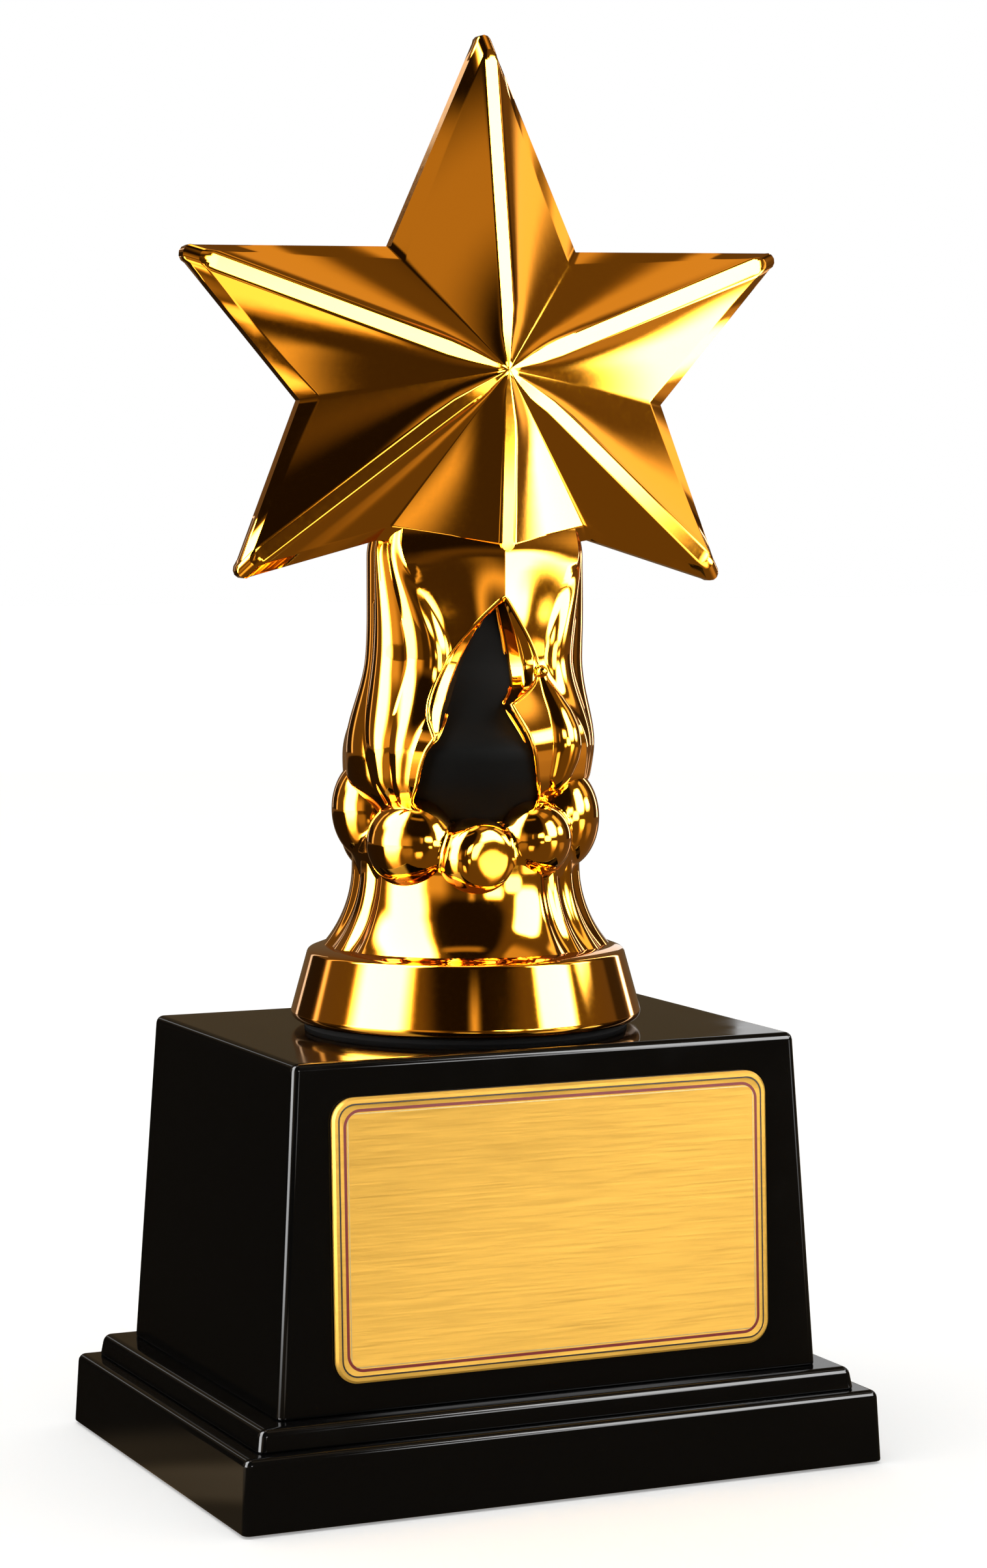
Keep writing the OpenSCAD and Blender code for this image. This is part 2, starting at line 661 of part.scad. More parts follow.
// Room that the column and the stem need behind the beads
room_rows = [0, 0.03, 0.06, 0.09, 0.2];
module column_room() rotate_extrude() polygon(concat(
    [[0, collar_h]],
    [for (t = room_rows) [half_w(t) + seat + (t > 0 && t < 0.1 ? 0.25 : 0), collar_h + t * column_h]],
    [[0, collar_h + 0.2 * column_h]]
));
module stem_room() translate([0, 0, -stem_h]) rotate_extrude() polygon(concat(
    [[0, 0.3 * stem_h]],
    [for (t = [0.3, 0.55, 0.8, 1]) [stem_r(t * stem_h) + seat, t * stem_h]],
    [[0, stem_h]]
));

module bead_collar() color(gold) at_foot() translate([0, 0, collar_z]) difference() {
    union() {
        cylinder(r = bead_circle_r + 1.6, h = collar_h);
        rotate([0, 0, -collar_turn]) for (i = [0:bead_count - 1]) rotate([0, 0, bead_angle(i)])
            translate([0, -bead_circle_r, bead_z(i)]) bead(bead_tall(i));
    }
    column_room();
    stem_room();
    translate([0, 0, -1]) cylinder(r = spigot_r + fit, h = collar_h + 2);
}

// ---------------------------------------------------------------- tie rod and its hardware

module rod_anchor() color("peru") at_foot() translate([0, 0, anchor_z]) difference() {
    cylinder(r = anchor_r, h = anchor_t);
    translate([0, 0, -1]) cylinder(r = rod_d / 2 + thread_play, h = anchor_t + 2);
}

rod_bottom = felt_roof + 0.4;
rod_top = anchor_z + anchor_t + 3;

module tie_rod() color(steel) at_foot() translate([0, 0, rod_bottom]) {
    cylinder(d1 = rod_d - 1, d2 = rod_d, h = 0.5);
    translate([0, 0, 0.5]) cylinder(d = rod_d, h = rod_top - rod_bottom - 1);
    translate([0, 0, rod_top - rod_bottom - 0.5]) cylinder(d1 = rod_d, d2 = rod_d - 1, h = 0.5);
}

module rod_washer() color(steel) at_foot() translate([0, 0, washer_z]) difference() {
    cylinder(d = washer_d, h = washer_t);
    translate([0, 0, -1]) cylinder(d = rod_d + 2 * rod_clear, h = washer_t + 2);
}

module spring_washer() color(steel) at_foot() translate([0, 0, washer_z - spring_t]) difference() {
    cylinder(r = rod_d, h = spring_t);
    translate([0, 0, -1]) cylinder(r = rod_d / 2 + fit, h = spring_t + 2);
    translate([0, -0.4, -1]) cube([rod_d + 2, 0.8, spring_t + 2]);
}

module rod_nut() color(steel) at_foot() translate([0, 0, washer_z - spring_t - nut_h]) difference() {
    cylinder(r = nut_af / sqrt(3), h = nut_h, $fn = 6);
    translate([0, 0, -1]) cylinder(r = rod_d / 2 + thread_play, h = nut_h + 2);
}

// ---------------------------------------------------------------- nodes

plinth();
step_board();
base_block();
base_screws();
felt_pad();
name_plate();
plate_enamel();
plate_tape();
foot_gasket();
foot_disc();
waist_stem();
bead_collar();
rod_anchor();
core_insert();
figure_front();
figure_back();
tie_rod();
rod_washer();
spring_washer();
rod_nut();
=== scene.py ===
import math
import bpy
import bmesh
from mathutils import Matrix, Vector


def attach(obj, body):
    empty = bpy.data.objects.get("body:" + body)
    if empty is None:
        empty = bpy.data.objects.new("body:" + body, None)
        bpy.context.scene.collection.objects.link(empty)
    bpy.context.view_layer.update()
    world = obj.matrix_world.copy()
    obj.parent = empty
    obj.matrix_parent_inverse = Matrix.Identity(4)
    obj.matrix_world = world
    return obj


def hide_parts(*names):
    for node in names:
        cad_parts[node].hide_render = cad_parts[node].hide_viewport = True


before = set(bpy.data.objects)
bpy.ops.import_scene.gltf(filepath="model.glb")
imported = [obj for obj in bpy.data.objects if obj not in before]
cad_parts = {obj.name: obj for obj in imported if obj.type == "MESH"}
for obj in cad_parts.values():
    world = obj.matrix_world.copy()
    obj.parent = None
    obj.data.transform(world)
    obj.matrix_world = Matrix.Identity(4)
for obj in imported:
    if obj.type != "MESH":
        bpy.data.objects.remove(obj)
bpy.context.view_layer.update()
mm = 0.001
print("frame loaded")

# small helpers

def toLinear(hexColour):
    parts = [int(hexColour[i:i + 2], 16) / 255 for i in (1, 3, 5)]
    return [c / 12.92 if c <= 0.04045 else ((c + 0.055) / 1.055) ** 2.4 for c in parts] + [1.0]

def addNode(tree, kind, settings=None, links=None):
    node = tree.nodes.new(kind)
    for key, value in (settings or {}).items():
        if isinstance(key, int) or key in node.inputs:
            node.inputs[key].default_value = value
        else:
            setattr(node, key, value)
    for key, source in (links or {}).items():
        tree.links.new(source, node.inputs[key])
    return node

def newMaterial(name):
    material = bpy.data.materials.new(name)
    material.use_nodes = True
    tree = material.node_tree
    tree.nodes.clear()
    shader = addNode(tree, "ShaderNodeBsdfPrincipled")
    addNode(tree, "ShaderNodeOutputMaterial", links={"Surface": shader.outputs["BSDF"]})
    return material, tree, shader

def smoothStep(t):
    t = min(max(t, 0.0), 1.0)
    return t * t * (3 - 2 * t)

def mix(a, b, t):
    return a + (b - a) * t

def turnBetween(a, b):
    return (a - b + 180) % 360 - 180

def toObject(name, bm, material=None):
    mesh = bpy.data.meshes.new(name)
    bm.to_mesh(mesh)
    bm.free()
    made = bpy.data.objects.new(name, mesh)
    bpy.context.collection.objects.link(made)
    if material:
        mesh.materials.append(material)
    return made

def makePiece(name, bm, material, nodes, weld=0.002):
    # points closer than weld, in mm, are merged; it stays far under the finest detail
    bmesh.ops.remove_doubles(bm, verts=bm.verts, dist=weld * mm)
    bmesh.ops.recalc_face_normals(bm, faces=bm.faces)
    for face in bm.faces:
        face.smooth = True
    piece = toObject(name, bm, material)
    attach(piece, "root")
    if nodes:
        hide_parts(*nodes)
    return piece

def sharpen(bm, degrees):
    limit = math.radians(degrees)
    for edge in bm.edges:
        if len(edge.link_faces) == 2 and edge.calc_face_angle(0) > limit:
            edge.smooth = False

def evenNormals(piece):
    # large flats stay flat and the small rounds between them stay soft
    weighted = piece.modifiers.new("evenNormals", "WEIGHTED_NORMAL")
    weighted.mode = "FACE_AREA"
    weighted.weight = 100
    weighted.keep_sharp = True

def applyModifiers(piece):
    bpy.context.view_layer.update()
    done = bpy.data.meshes.new_from_object(piece.evaluated_get(bpy.context.evaluated_depsgraph_get()))
    piece.modifiers.clear()
    piece.data = done
    return done

def roundOff(bm, geom, offset, segments, affect="EDGES"):
    bmesh.ops.bevel(bm, geom=geom, offset=offset, offset_type="OFFSET", segments=segments, profile=0.5,
                    affect=affect, material=-1)

def startRing(bm, places):
    # a closed ring of points; with it goes each point's number
    ring = bmesh.ops.create_circle(bm, cap_ends=False, segments=len(places), radius=mm)["verts"]
    for vert, place in zip(ring, places):
        vert.co = place
    return [e for e in bm.edges if e.verts[0] in ring], {vert: i for i, vert in enumerate(ring)}

def growRing(bm, edges, numbers, places):
    # the next ring, extruded from the last, takes over the points' numbers
    grown = bmesh.ops.extrude_edge_only(bm, edges=edges)["geom"]
    inRing = set(grown)
    edges = [g for g in grown if isinstance(g, bmesh.types.BMEdge) and all(v in inRing for v in g.verts)]
    fresh = {}
    for vert in (g for g in grown if isinstance(g, bmesh.types.BMVert)):
        below = next(v for v in (e.other_vert(vert) for e in vert.link_edges) if v in numbers)
        fresh[vert] = numbers[below]
        vert.co = places[fresh[vert]]
    return edges, fresh

def growTube(bm, rows):
    edges, numbers = startRing(bm, rows[0])
    for places in rows[1:]:
        edges, numbers = growRing(bm, edges, numbers, places)
    closeHoles(bm)

def bridgeRows(bm, rows):
    rings = [startRing(bm, places)[0] for places in rows]
    for first, second in zip(rings, rings[1:]):
        bmesh.ops.bridge_loops(bm, edges=first + second)

def softenPoints(bm):
    bmesh.ops.smooth_vert(bm, verts=bm.verts, factor=0.5, use_axis_x=True, use_axis_y=True, use_axis_z=True)

def closeHoles(bm):
    bmesh.ops.holes_fill(bm, edges=[e for e in bm.edges if e.is_boundary], sides=0)

# materials

goldPlating = {
    "colour": "#ffab1b",      # yellow gold over bright nickel
    "coat": 0.55,             # clear lacquer: its own white glint lies over the gold
    "coatRoughness": 0.04,
    "roughness": 0.05,        # buffed casting
    "wave": 6.0 * mm,         # slow waviness left by the buffing wheel
    "haze": 0.8 * mm,         # fine haze that catches at edges
}

def makeGoldPlating():
    # gold-plated zinc casting, buffed and clear-lacquered: deep mirror with a little waviness
    material, tree, shader = newMaterial("goldPlatedZinc")
    place = addNode(tree, "ShaderNodeTexCoord")
    wave = addNode(tree, "ShaderNodeTexNoise", {"Scale": 1 / goldPlating["wave"], "Detail": 2.0},
                   {"Vector": place.outputs["Object"]})
    haze = addNode(tree, "ShaderNodeTexNoise", {"Scale": 1 / goldPlating["haze"], "Detail": 3.0},
                   {"Vector": place.outputs["Object"]})
    spread = addNode(tree, "ShaderNodeMapRange", {"From Min": 0.35, "From Max": 0.75,
                     "To Min": goldPlating["roughness"] * 0.8, "To Max": goldPlating["roughness"] * 1.5},
                     {"Value": haze.outputs["Fac"]})
    bump = addNode(tree, "ShaderNodeBump", {"Strength": 0.06, "Distance": 0.05 * mm},
                   {"Height": wave.outputs["Fac"]})
    shader.inputs["Base Color"].default_value = toLinear(goldPlating["colour"])
    shader.inputs["Metallic"].default_value = 1.0
    shader.inputs["Coat Weight"].default_value = goldPlating["coat"]
    shader.inputs["Coat Roughness"].default_value = goldPlating["coatRoughness"]
    tree.links.new(spread.outputs["Result"], shader.inputs["Roughness"])
    tree.links.new(bump.outputs["Normal"], shader.inputs["Normal"])
    return material

pianoLacquer = {
    "colour": "#090909", "gloss": 0.2, "roughness": 0.05,
    "peel": 2.5 * mm,         # the faint orange peel that polishing leaves
    "dust": 9.0 * mm,         # patches that are a little less bright
}

def makePianoLacquer():
    # black polyester lacquer on wood, polished: deep black, sharp but weak reflections
    material, tree, shader = newMaterial("blackPianoLacquer")
    place = addNode(tree, "ShaderNodeTexCoord")
    peel = addNode(tree, "ShaderNodeTexNoise", {"Scale": 1 / pianoLacquer["peel"], "Detail": 1.0},
                   {"Vector": place.outputs["Object"]})
    bump = addNode(tree, "ShaderNodeBump", {"Strength": 0.03, "Distance": 0.03 * mm},
                   {"Height": peel.outputs["Fac"]})
    dust = addNode(tree, "ShaderNodeTexNoise", {"Scale": 1 / pianoLacquer["dust"], "Detail": 4.0},
                   {"Vector": place.outputs["Object"]})
    spread = addNode(tree, "ShaderNodeMapRange", {"From Min": 0.4, "From Max": 0.7,
                     "To Min": pianoLacquer["roughness"], "To Max": pianoLacquer["roughness"] * 2.2},
                     {"Value": dust.outputs["Fac"]})
    shader.inputs["Base Color"].default_value = toLinear(pianoLacquer["colour"])
    shader.inputs["Specular IOR Level"].default_value = pianoLacquer["gloss"]
    tree.links.new(spread.outputs["Result"], shader.inputs["Roughness"])
    tree.links.new(bump.outputs["Normal"], shader.inputs["Normal"])
    return material

brushedPlate = {
    "colour": "#e0ae4a", "metal": 0.34, "specular": 0.12, "roughness": 0.36,
    "line": 0.32 * mm,        # brush lines, drawn about four times as coarse as real ones so that they show
    "stretch": 40.0,
}

def makeBrushedPlate():
    # gold-anodised aluminium, brushed along its width
    material, tree, shader = newMaterial("brushedGoldAluminium")
    place = addNode(tree, "ShaderNodeTexCoord")
    grain = addNode(tree, "ShaderNodeMapping", {"Scale": (1 / brushedPlate["stretch"], 1, 1)},
                    {"Vector": place.outputs["Object"]})
    lines = addNode(tree, "ShaderNodeTexNoise", {"Scale": 1 / brushedPlate["line"], "Detail": 3.0,
                    "Roughness": 0.7}, {"Vector": grain.outputs["Vector"]})
    shade = addNode(tree, "ShaderNodeMapRange", {"From Min": 0.3, "From Max": 0.7, "To Min": 0.93,
                    "To Max": 1.04}, {"Value": lines.outputs["Fac"]})
    tint = addNode(tree, "ShaderNodeMix", {"data_type": "RGBA", "blend_type": "MULTIPLY"})
    tint.inputs[0].default_value = 1.0
    tint.inputs[6].default_value = toLinear(brushedPlate["colour"])
    tree.links.new(shade.outputs["Result"], tint.inputs[7])
    spread = addNode(tree, "ShaderNodeMapRange", {"From Min": 0.3, "From Max": 0.7,
                     "To Min": brushedPlate["roughness"] - 0.06, "To Max": brushedPlate["roughness"] + 0.08},
                     {"Value": lines.outputs["Fac"]})
    bump = addNode(tree, "ShaderNodeBump", {"Strength": 0.15, "Distance": 0.01 * mm},
                   {"Height": lines.outputs["Fac"]})
    tree.links.new(tint.outputs[2], shader.inputs["Base Color"])
    tree.links.new(spread.outputs["Result"], shader.inputs["Roughness"])
    tree.links.new(bump.outputs["Normal"], shader.inputs["Normal"])
    shader.inputs["Metallic"].default_value = brushedPlate["metal"]
    shader.inputs["Specular IOR Level"].default_value = brushedPlate["specular"]
    return material

def makeSimple(name, colour, roughness, metallic=0.0, grain=1.0 * mm, depth=0.02 * mm, vary=0.15,
               gloss=0.5):
    # small pieces: one colour with a fine mottling and grain of the given size
    material, tree, shader = newMaterial(name)
    place = addNode(tree, "ShaderNodeTexCoord")
    spots = addNode(tree, "ShaderNodeTexNoise", {"Scale": 1 / grain, "Detail": 3.0},
                    {"Vector": place.outputs["Object"]})
    shade = addNode(tree, "ShaderNodeMapRange", {"From Min": 0.3, "From Max": 0.7, "To Min": 1 - vary,
                    "To Max": 1.0}, {"Value": spots.outputs["Fac"]})
    tint = addNode(tree, "ShaderNodeMix", {"data_type": "RGBA", "blend_type": "MULTIPLY"})
    tint.inputs[0].default_value = 1.0
    tint.inputs[6].default_value = toLinear(colour)
    tree.links.new(shade.outputs["Result"], tint.inputs[7])
    bump = addNode(tree, "ShaderNodeBump", {"Strength": 0.4, "Distance": depth},
                   {"Height": spots.outputs["Fac"]})
    tree.links.new(tint.outputs[2], shader.inputs["Base Color"])
    tree.links.new(bump.outputs["Normal"], shader.inputs["Normal"])
    shader.inputs["Roughness"].default_value = roughness
    shader.inputs["Metallic"].default_value = metallic
    shader.inputs["Specular IOR Level"].default_value = gloss
    return material

gold = makeGoldPlating()
lacquer = makePianoLacquer()
plateMetal = makeBrushedPlate()
# matte moulded plastic and dull rubber: both read as deep black beside the mirror of the gold
coreBlack = makeSimple("blackMouldedAbs", "#0a0a09", 0.62, grain=0.6 * mm, depth=0.004 * mm, gloss=0.03)
rubber = makeSimple("blackNitrileRubber", "#080808", 0.85, grain=0.4 * mm, gloss=0.1)
# pressed wool: soft, with flecks of lighter fibre
felt = makeSimple("darkWoolFelt", "#16201a", 0.95, grain=0.5 * mm, depth=0.15 * mm, vary=0.5)
# bluish bright zinc and warm turned brass, both a little dulled
steel = makeSimple("zincPlatedSteel", "#b9bcc0", 0.28, metallic=1.0, grain=0.5 * mm)
brass = makeSimple("turnedBrass", "#c79a4a", 0.3, metallic=1.0, grain=0.5 * mm)
# the plate's lines: filled enamel with a soft shine, and metal left bright between them
enamel = makeSimple("darkRedEnamel", "#8a1508", 0.35, grain=0.3 * mm)
ink = makeSimple("blackEnamel", "#140b06", 0.4, grain=0.3 * mm)
paleGold = makeSimple("polishedGoldLine", "#ffe6a0", 0.25, metallic=0.5, grain=0.5 * mm)
# closed-cell foam: white and chalky
tape = makeSimple("whiteFoamTape", "#e6e4de", 0.8, grain=0.3 * mm, depth=0.05 * mm)

def dressNode(node, material):
    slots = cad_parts[node].data.materials
    slots.clear()
    slots.append(material)

for node, material in {
    "base_screws": steel, "tie_rod": steel, "rod_washer": steel, "spring_washer": steel, "rod_nut": steel,
    "felt_pad": felt, "plate_enamel": enamel, "plate_tape": tape,
    "foot_gasket": rubber, "rod_anchor": brass,
}.items():
    dressNode(node, material)
print("materials made")

# black base: three tapered tiers with rounded, polished edges

# heights from the ground, then width and depth at the bottom and at the top of each tier
tiers = {
    "plinthTier": {"node": "plinth", "low": 0.4, "high": 13.0, "bottom": (120, 88.4), "top": (118.8, 87.2)},
    "stepTier": {"node": "step_board", "low": 13.0, "high": 16.9, "bottom": (112.2, 82), "top": (111, 80.8)},
    "blockTier": {"node": "base_block", "low": 16.9, "high": 75.9, "bottom": (101.6, 72.8),
                  "top": (94.4, 68.4)},
}
tierEdges = {"round": 1.3, "roundSteps": 5, "foot": 0.35, "footSteps": 2}   # the lacquer rounds every edge

def makeTier(name, size):
    bm = bmesh.new()
    bmesh.ops.create_cube(bm, size=1)
    for vert in bm.verts:
        end, height = ("top", size["high"]) if vert.co.z > 0 else ("bottom", size["low"])
        width, depth = size[end]
        vert.co = Vector((math.copysign(width / 2, vert.co.x), math.copysign(depth / 2, vert.co.y),
                          height)) * mm
    def atFoot(edge):
        return all(v.co.z < (size["low"] + 0.001) * mm for v in edge.verts)
    roundOff(bm, [e for e in bm.edges if not atFoot(e)], tierEdges["round"] * mm, tierEdges["roundSteps"])
    roundOff(bm, [e for e in bm.edges if atFoot(e)], tierEdges["foot"] * mm, tierEdges["footSteps"])
    evenNormals(makePiece(name, bm, lacquer, [size["node"]]))

for name, size in tiers.items():
    makeTier(name, size)
print("base made")

# plate: a brushed face with a bevelled rim, a black line sunk into it and a pale one proud of it

plate = {
    "wide": 81.6, "tall": 47.8, "corner": 4.0, "cornerSteps": 10, "edge": 0.5,
    # where it stands: foot of the block's front face, way up that face, lean in degrees, way off the face
    "front": -36.4, "low": 16.9, "up": 29.12, "tilt": 2.184, "off": 0.32,
    # from the rim inward: width and rise of each band
    "bands": [(0.4, 0.4), (0.55, 0.0), (0.05, -0.1), (0.25, 0.0), (0.05, 0.1), (0.1, -0.02)],
    # way in from the rim, width, bottom, top, finish
    "lines": {"plateInkLine": (1.02, 0.2, 0.80, 0.86, ink),
              "platePaleLine": (2.6, 0.18, 0.86, 0.9, paleGold)},
}

def roundedSheet(inset, low, high):
    bm = bmesh.new()
    bmesh.ops.create_grid(bm, x_segments=1, y_segments=1, size=0.5)
    bmesh.ops.scale(bm, vec=(plate["wide"] - 2 * inset, plate["tall"] - 2 * inset, 1), verts=bm.verts)
    roundOff(bm, list(bm.verts), plate["corner"] - inset, plate["cornerSteps"], "VERTICES")
    bmesh.ops.translate(bm, vec=(0, 0, low), verts=bm.verts)
    grown = bmesh.ops.extrude_face_region(bm, geom=list(bm.faces))["geom"]
    raised = [g for g in grown if isinstance(g, bmesh.types.BMVert)]
    bmesh.ops.translate(bm, vec=(0, 0, high - low), verts=raised)
    return bm, [g for g in grown if isinstance(g, bmesh.types.BMFace)]

def standPlate(bm):
    turn = Matrix.Rotation(math.radians(90 - plate["tilt"]), 4, "X")
    place = Matrix.Translation((0, plate["front"], plate["low"])) @ turn @ Matrix.Translation(
        (0, plate["up"], plate["off"]))
    bmesh.ops.transform(bm, matrix=Matrix.Scale(mm, 4) @ place, verts=bm.verts)

def makePlate():
    bm, top = roundedSheet(0, 0, plate["edge"])
    for width, rise in plate["bands"]:
        bmesh.ops.inset_region(bm, faces=top, thickness=width, depth=rise, use_even_offset=True)
    standPlate(bm)
    sharpen(bm, 20)
    makePiece("platePanel", bm, plateMetal, ["name_plate"])
    for name, (inset, wide, low, high, finish) in plate["lines"].items():
        bm, top = roundedSheet(inset, low, high)
        bmesh.ops.inset_region(bm, faces=top, thickness=wide, use_even_offset=True)
        bmesh.ops.delete(bm, geom=top, context="FACES_ONLY")
        standPlate(bm)
        sharpen(bm, 20)
        makePiece(name, bm, finish, [])

makePlate()
print("plate made")

# turned foot: disc, stem and collar ring stand on the foot axis

footY = 1.5   # the figure stands a little behind the base's middle

def spinProfile(points, steps):
    bm = bmesh.new()
    verts = [bm.verts.new(Vector((x, 0, z)) * mm) for x, z in points]
    edges = [bm.edges.new(pair) for pair in zip(verts, verts[1:])]
    bmesh.ops.spin(bm, geom=verts + edges, cent=(0, 0, 0), axis=(0, 0, 1), angle=2 * math.pi,
                   steps=steps, use_merge=True)
    bmesh.ops.remove_doubles(bm, verts=bm.verts, dist=0.001 * mm)
    return bm

def arcPoints(cx, cz, r, start, end, steps):
    turns = [math.radians(mix(start, end, i / steps)) for i in range(steps + 1)]
    return [(cx + r * math.cos(turn), cz + r * math.sin(turn)) for turn in turns]

disc = {"low": 76.7, "high": 90.4, "under": 28, "widest": 31.2, "toe": 1.4, "shoulder": 28.4, "ease": 1.0,
        "top": 25.5, "steps": 160}

def makeFootDisc():
    low, high, toe, ease = disc["low"], disc["high"], disc["toe"], disc["ease"]
    rim = arcPoints(disc["widest"] - toe, low + 1.7, toe, -80, 12, 8)
    shoulder = arcPoints(disc["shoulder"] - ease, high - 1.8, ease, 16, 74, 6)
    bm = spinProfile([(0, low), (disc["under"], low), *rim, *shoulder, (disc["top"], high), (0, high)],
                     disc["steps"])
    bmesh.ops.translate(bm, verts=bm.verts, vec=(0, footY * mm, 0))
    sharpen(bm, 40)
    evenNormals(makePiece("footDisc", bm, gold, ["foot_disc"]))

stem = {"low": 90.4, "high": 104.4, "waist": 20.3, "foot": 25.5, "intoCollar": 3, "rows": 28, "steps": 240,
        "foldDepth": 0.9, "foldWidth": 7.0, "folds": (-96, -77, 22, 34, 50, 118, 150, 210, 242)}

def stemRadius(z):
    flare = stem["foot"] - stem["waist"]
    height = stem["high"] - stem["low"]
    bend = (flare * flare + height * height) / (2 * flare)
    rise = stem["high"] - z
    return stem["waist"] + bend - math.sqrt(max(bend * bend - rise * rise, 0))

def makeStem():
    rows = stem["rows"]
    heights = [mix(stem["low"], stem["high"] + stem["intoCollar"], i / rows) for i in range(rows + 1)]
    bm = spinProfile([(stemRadius(min(z, stem["high"])), z) for z in heights], stem["steps"])
    for vert in bm.verts:
        angle = math.degrees(math.atan2(vert.co.x, -vert.co.y))
        dip = 0.0
        for fold in stem["folds"]:
            away = abs(turnBetween(angle, fold))
            dip += stem["foldDepth"] * max(0.0, 1 - (away / stem["foldWidth"]) ** 2) ** 2
        radius = math.hypot(vert.co.x, vert.co.y)
        keep = (radius - dip * mm) / radius
        vert.co.x *= keep
        vert.co.y *= keep
    bmesh.ops.translate(bm, verts=bm.verts, vec=(0, footY * mm, 0))
    makePiece("stemFlare", bm, gold, ["waist_stem"])

makeFootDisc()
makeStem()

collar = {
    "low": 104.4, "circle": 17.4, "steps": 96,
    "ring": [(0, -2), (19.4, -2), (20.6, 2.5), (20.4, 5.5), (18.4, 8), (0, 8)],   # radius, height above low
    # angle from the front, height of the middle, half width, half height, half depth, turn of its face
    "beads": [(-137, 109.8, 6.8, 7.6, 6.4, 0), (-103, 114.6, 6.8, 9.2, 6.7, 0),
              (-57, 109.4, 8.3, 8.1, 7.0, 0), (-18, 107.2, 7.1, 6.9, 5.0, 26), (20, 110.0, 6.8, 6.8, 6.3, 0),
              (56, 113.0, 6.9, 9.2, 6.6, 0), (95, 113.6, 6.6, 8.6, 6.5, 0), (140, 110.2, 6.8, 7.6, 6.4, 0),
              (180, 107.2, 7.0, 6.6, 6.4, 0)],
    "flatten": 5, "voxel": 0.36, "soften": 3,   # flatten: how flat a turned bead's face is
}

def makeCollar():
    bm = spinProfile([(radius, collar["low"] + up) for radius, up in collar["ring"]], collar["steps"])
    for angle, height, wide, tall, deep, face in collar["beads"]:
        turn = math.radians(angle)
        made = bmesh.ops.create_uvsphere(bm, u_segments=48, v_segments=32, radius=1.0)
        if face:
            for v in made["verts"]:
                around = math.hypot(v.co.x, v.co.z)
                v.co.y = math.copysign(max(0.0, 1 - around ** collar["flatten"]) ** 0.5, v.co.y)
        middle = Vector((collar["circle"] * math.sin(turn), -collar["circle"] * math.cos(turn), height)) * mm
        place = (Matrix.Translation(middle) @ Matrix.Rotation(turn + math.radians(face), 4, "Z")
                 @ Matrix.Diagonal((wide * mm, deep * mm, tall * mm, 1)))
        bmesh.ops.transform(bm, matrix=place, verts=made["verts"])
    bmesh.ops.translate(bm, verts=bm.verts, vec=(0, footY * mm, 0))
    piece = makePiece("beadCollar", bm, gold, ["bead_collar"])
    # the beads are cast in one with the collar, so their joints run softly into each other
    blend = piece.modifiers.new("blend", "REMESH")
    blend.mode = "VOXEL"
    blend.voxel_size = collar["voxel"] * mm
    blend.use_smooth_shade = True
    done = applyModifiers(piece)
    bm = bmesh.new()
    bm.from_mesh(done)
    for turn in range(collar["soften"]):
        softenPoints(bm)
    for face in bm.faces:
        face.smooth = True
    bm.to_mesh(done)
    bm.free()
    if not done.materials:
        done.materials.append(gold)

makeCollar()
print("foot, stem and collar made")

# column: an oval shaft with a two-faced prow in front and reeds round the rest

column = {
    "neckZ": 111.4, "height": 80.0, "end": 0.97, "rows": 96, "pointsPerReed": 16, "prowPoints": 14,
    # half width and half depth: at the bulge, above it, and the share that the closed top gives up
    "wide": (21.5, 20.2, 0.78), "deep": (18.9, 12.2, 0.75), "neckR": 17.2,
    "bulge": 1.4, "bulgeAt": 0.185, "bulgeSpread": 0.12, "lean": 4.4, "settle": 0.8,
    "reeds": 12, "reedDepth": 0.7, "flank": 7.0,
    # the prow: half angle at the foot and at the star, rise of its ridge, slope and hollow of its faces
    "prow": 44.0, "prowTop": 70.0, "ridge": 1.03, "prowSlope": 0.33, "prowHollow": 0.45,
    # the leaf tips beside the opening: angle, share of the width that is left, angle of the last reed in them
    "tipAngle": 59.0, "tipWidth": 0.4, "leafEnd": 89.0,
}

# where each change along the column starts and how long it runs, in shares of the height
changes = {
    "neck": (0, 0.115), "upper": (0.16, 0.22), "lean": (0.02, 0.45), "gather": (0.05, 0.32),
    "spread": (0.36, 0.29), "flatten": (0.5, 0.14), "settle": (0.60, 0.07), "close": (0.68, 0.24),
}

def changed(name, t):
    start, length = changes[name]
    return smoothStep((t - start) / length)

def halfSize(t, low, high, closing):
    swell = column["bulge"] * math.exp(-((t - column["bulgeAt"]) / column["bulgeSpread"]) ** 2)
    body = mix(low, high, changed("upper", t)) + swell - column["settle"] * changed("settle", t)
    return mix(column["neckR"], body, changed("neck", t)) * (1 - closing * changed("close", t))

def halfWidth(t):
    return halfSize(t, *column["wide"])

def halfDepth(t):
    return halfSize(t, *column["deep"])

def centreY(t):
    return footY - column["lean"] * changed("lean", t)

def ovalRadius(a, b, angle):
    return a * b / math.hypot(b * math.sin(angle), a * math.cos(angle))

def reedEdges(t):
    # the prow spreads toward the star, so the reeds beside it run out in pointed tips; near the foot
    # the reeds beside the opening draw together into a leaf tip
    gather = mix(column["tipWidth"], 1.0, changed("gather", t))
    spread = mix(column["prow"], column["prowTop"], changed("spread", t))
    tip, end = column["tipAngle"], column["leafEnd"]
    return [(0, 0), (column["prow"], mix(tip, spread, gather)), (end, mix(tip, end, gather)), (150, 150),
            (180, 180)]

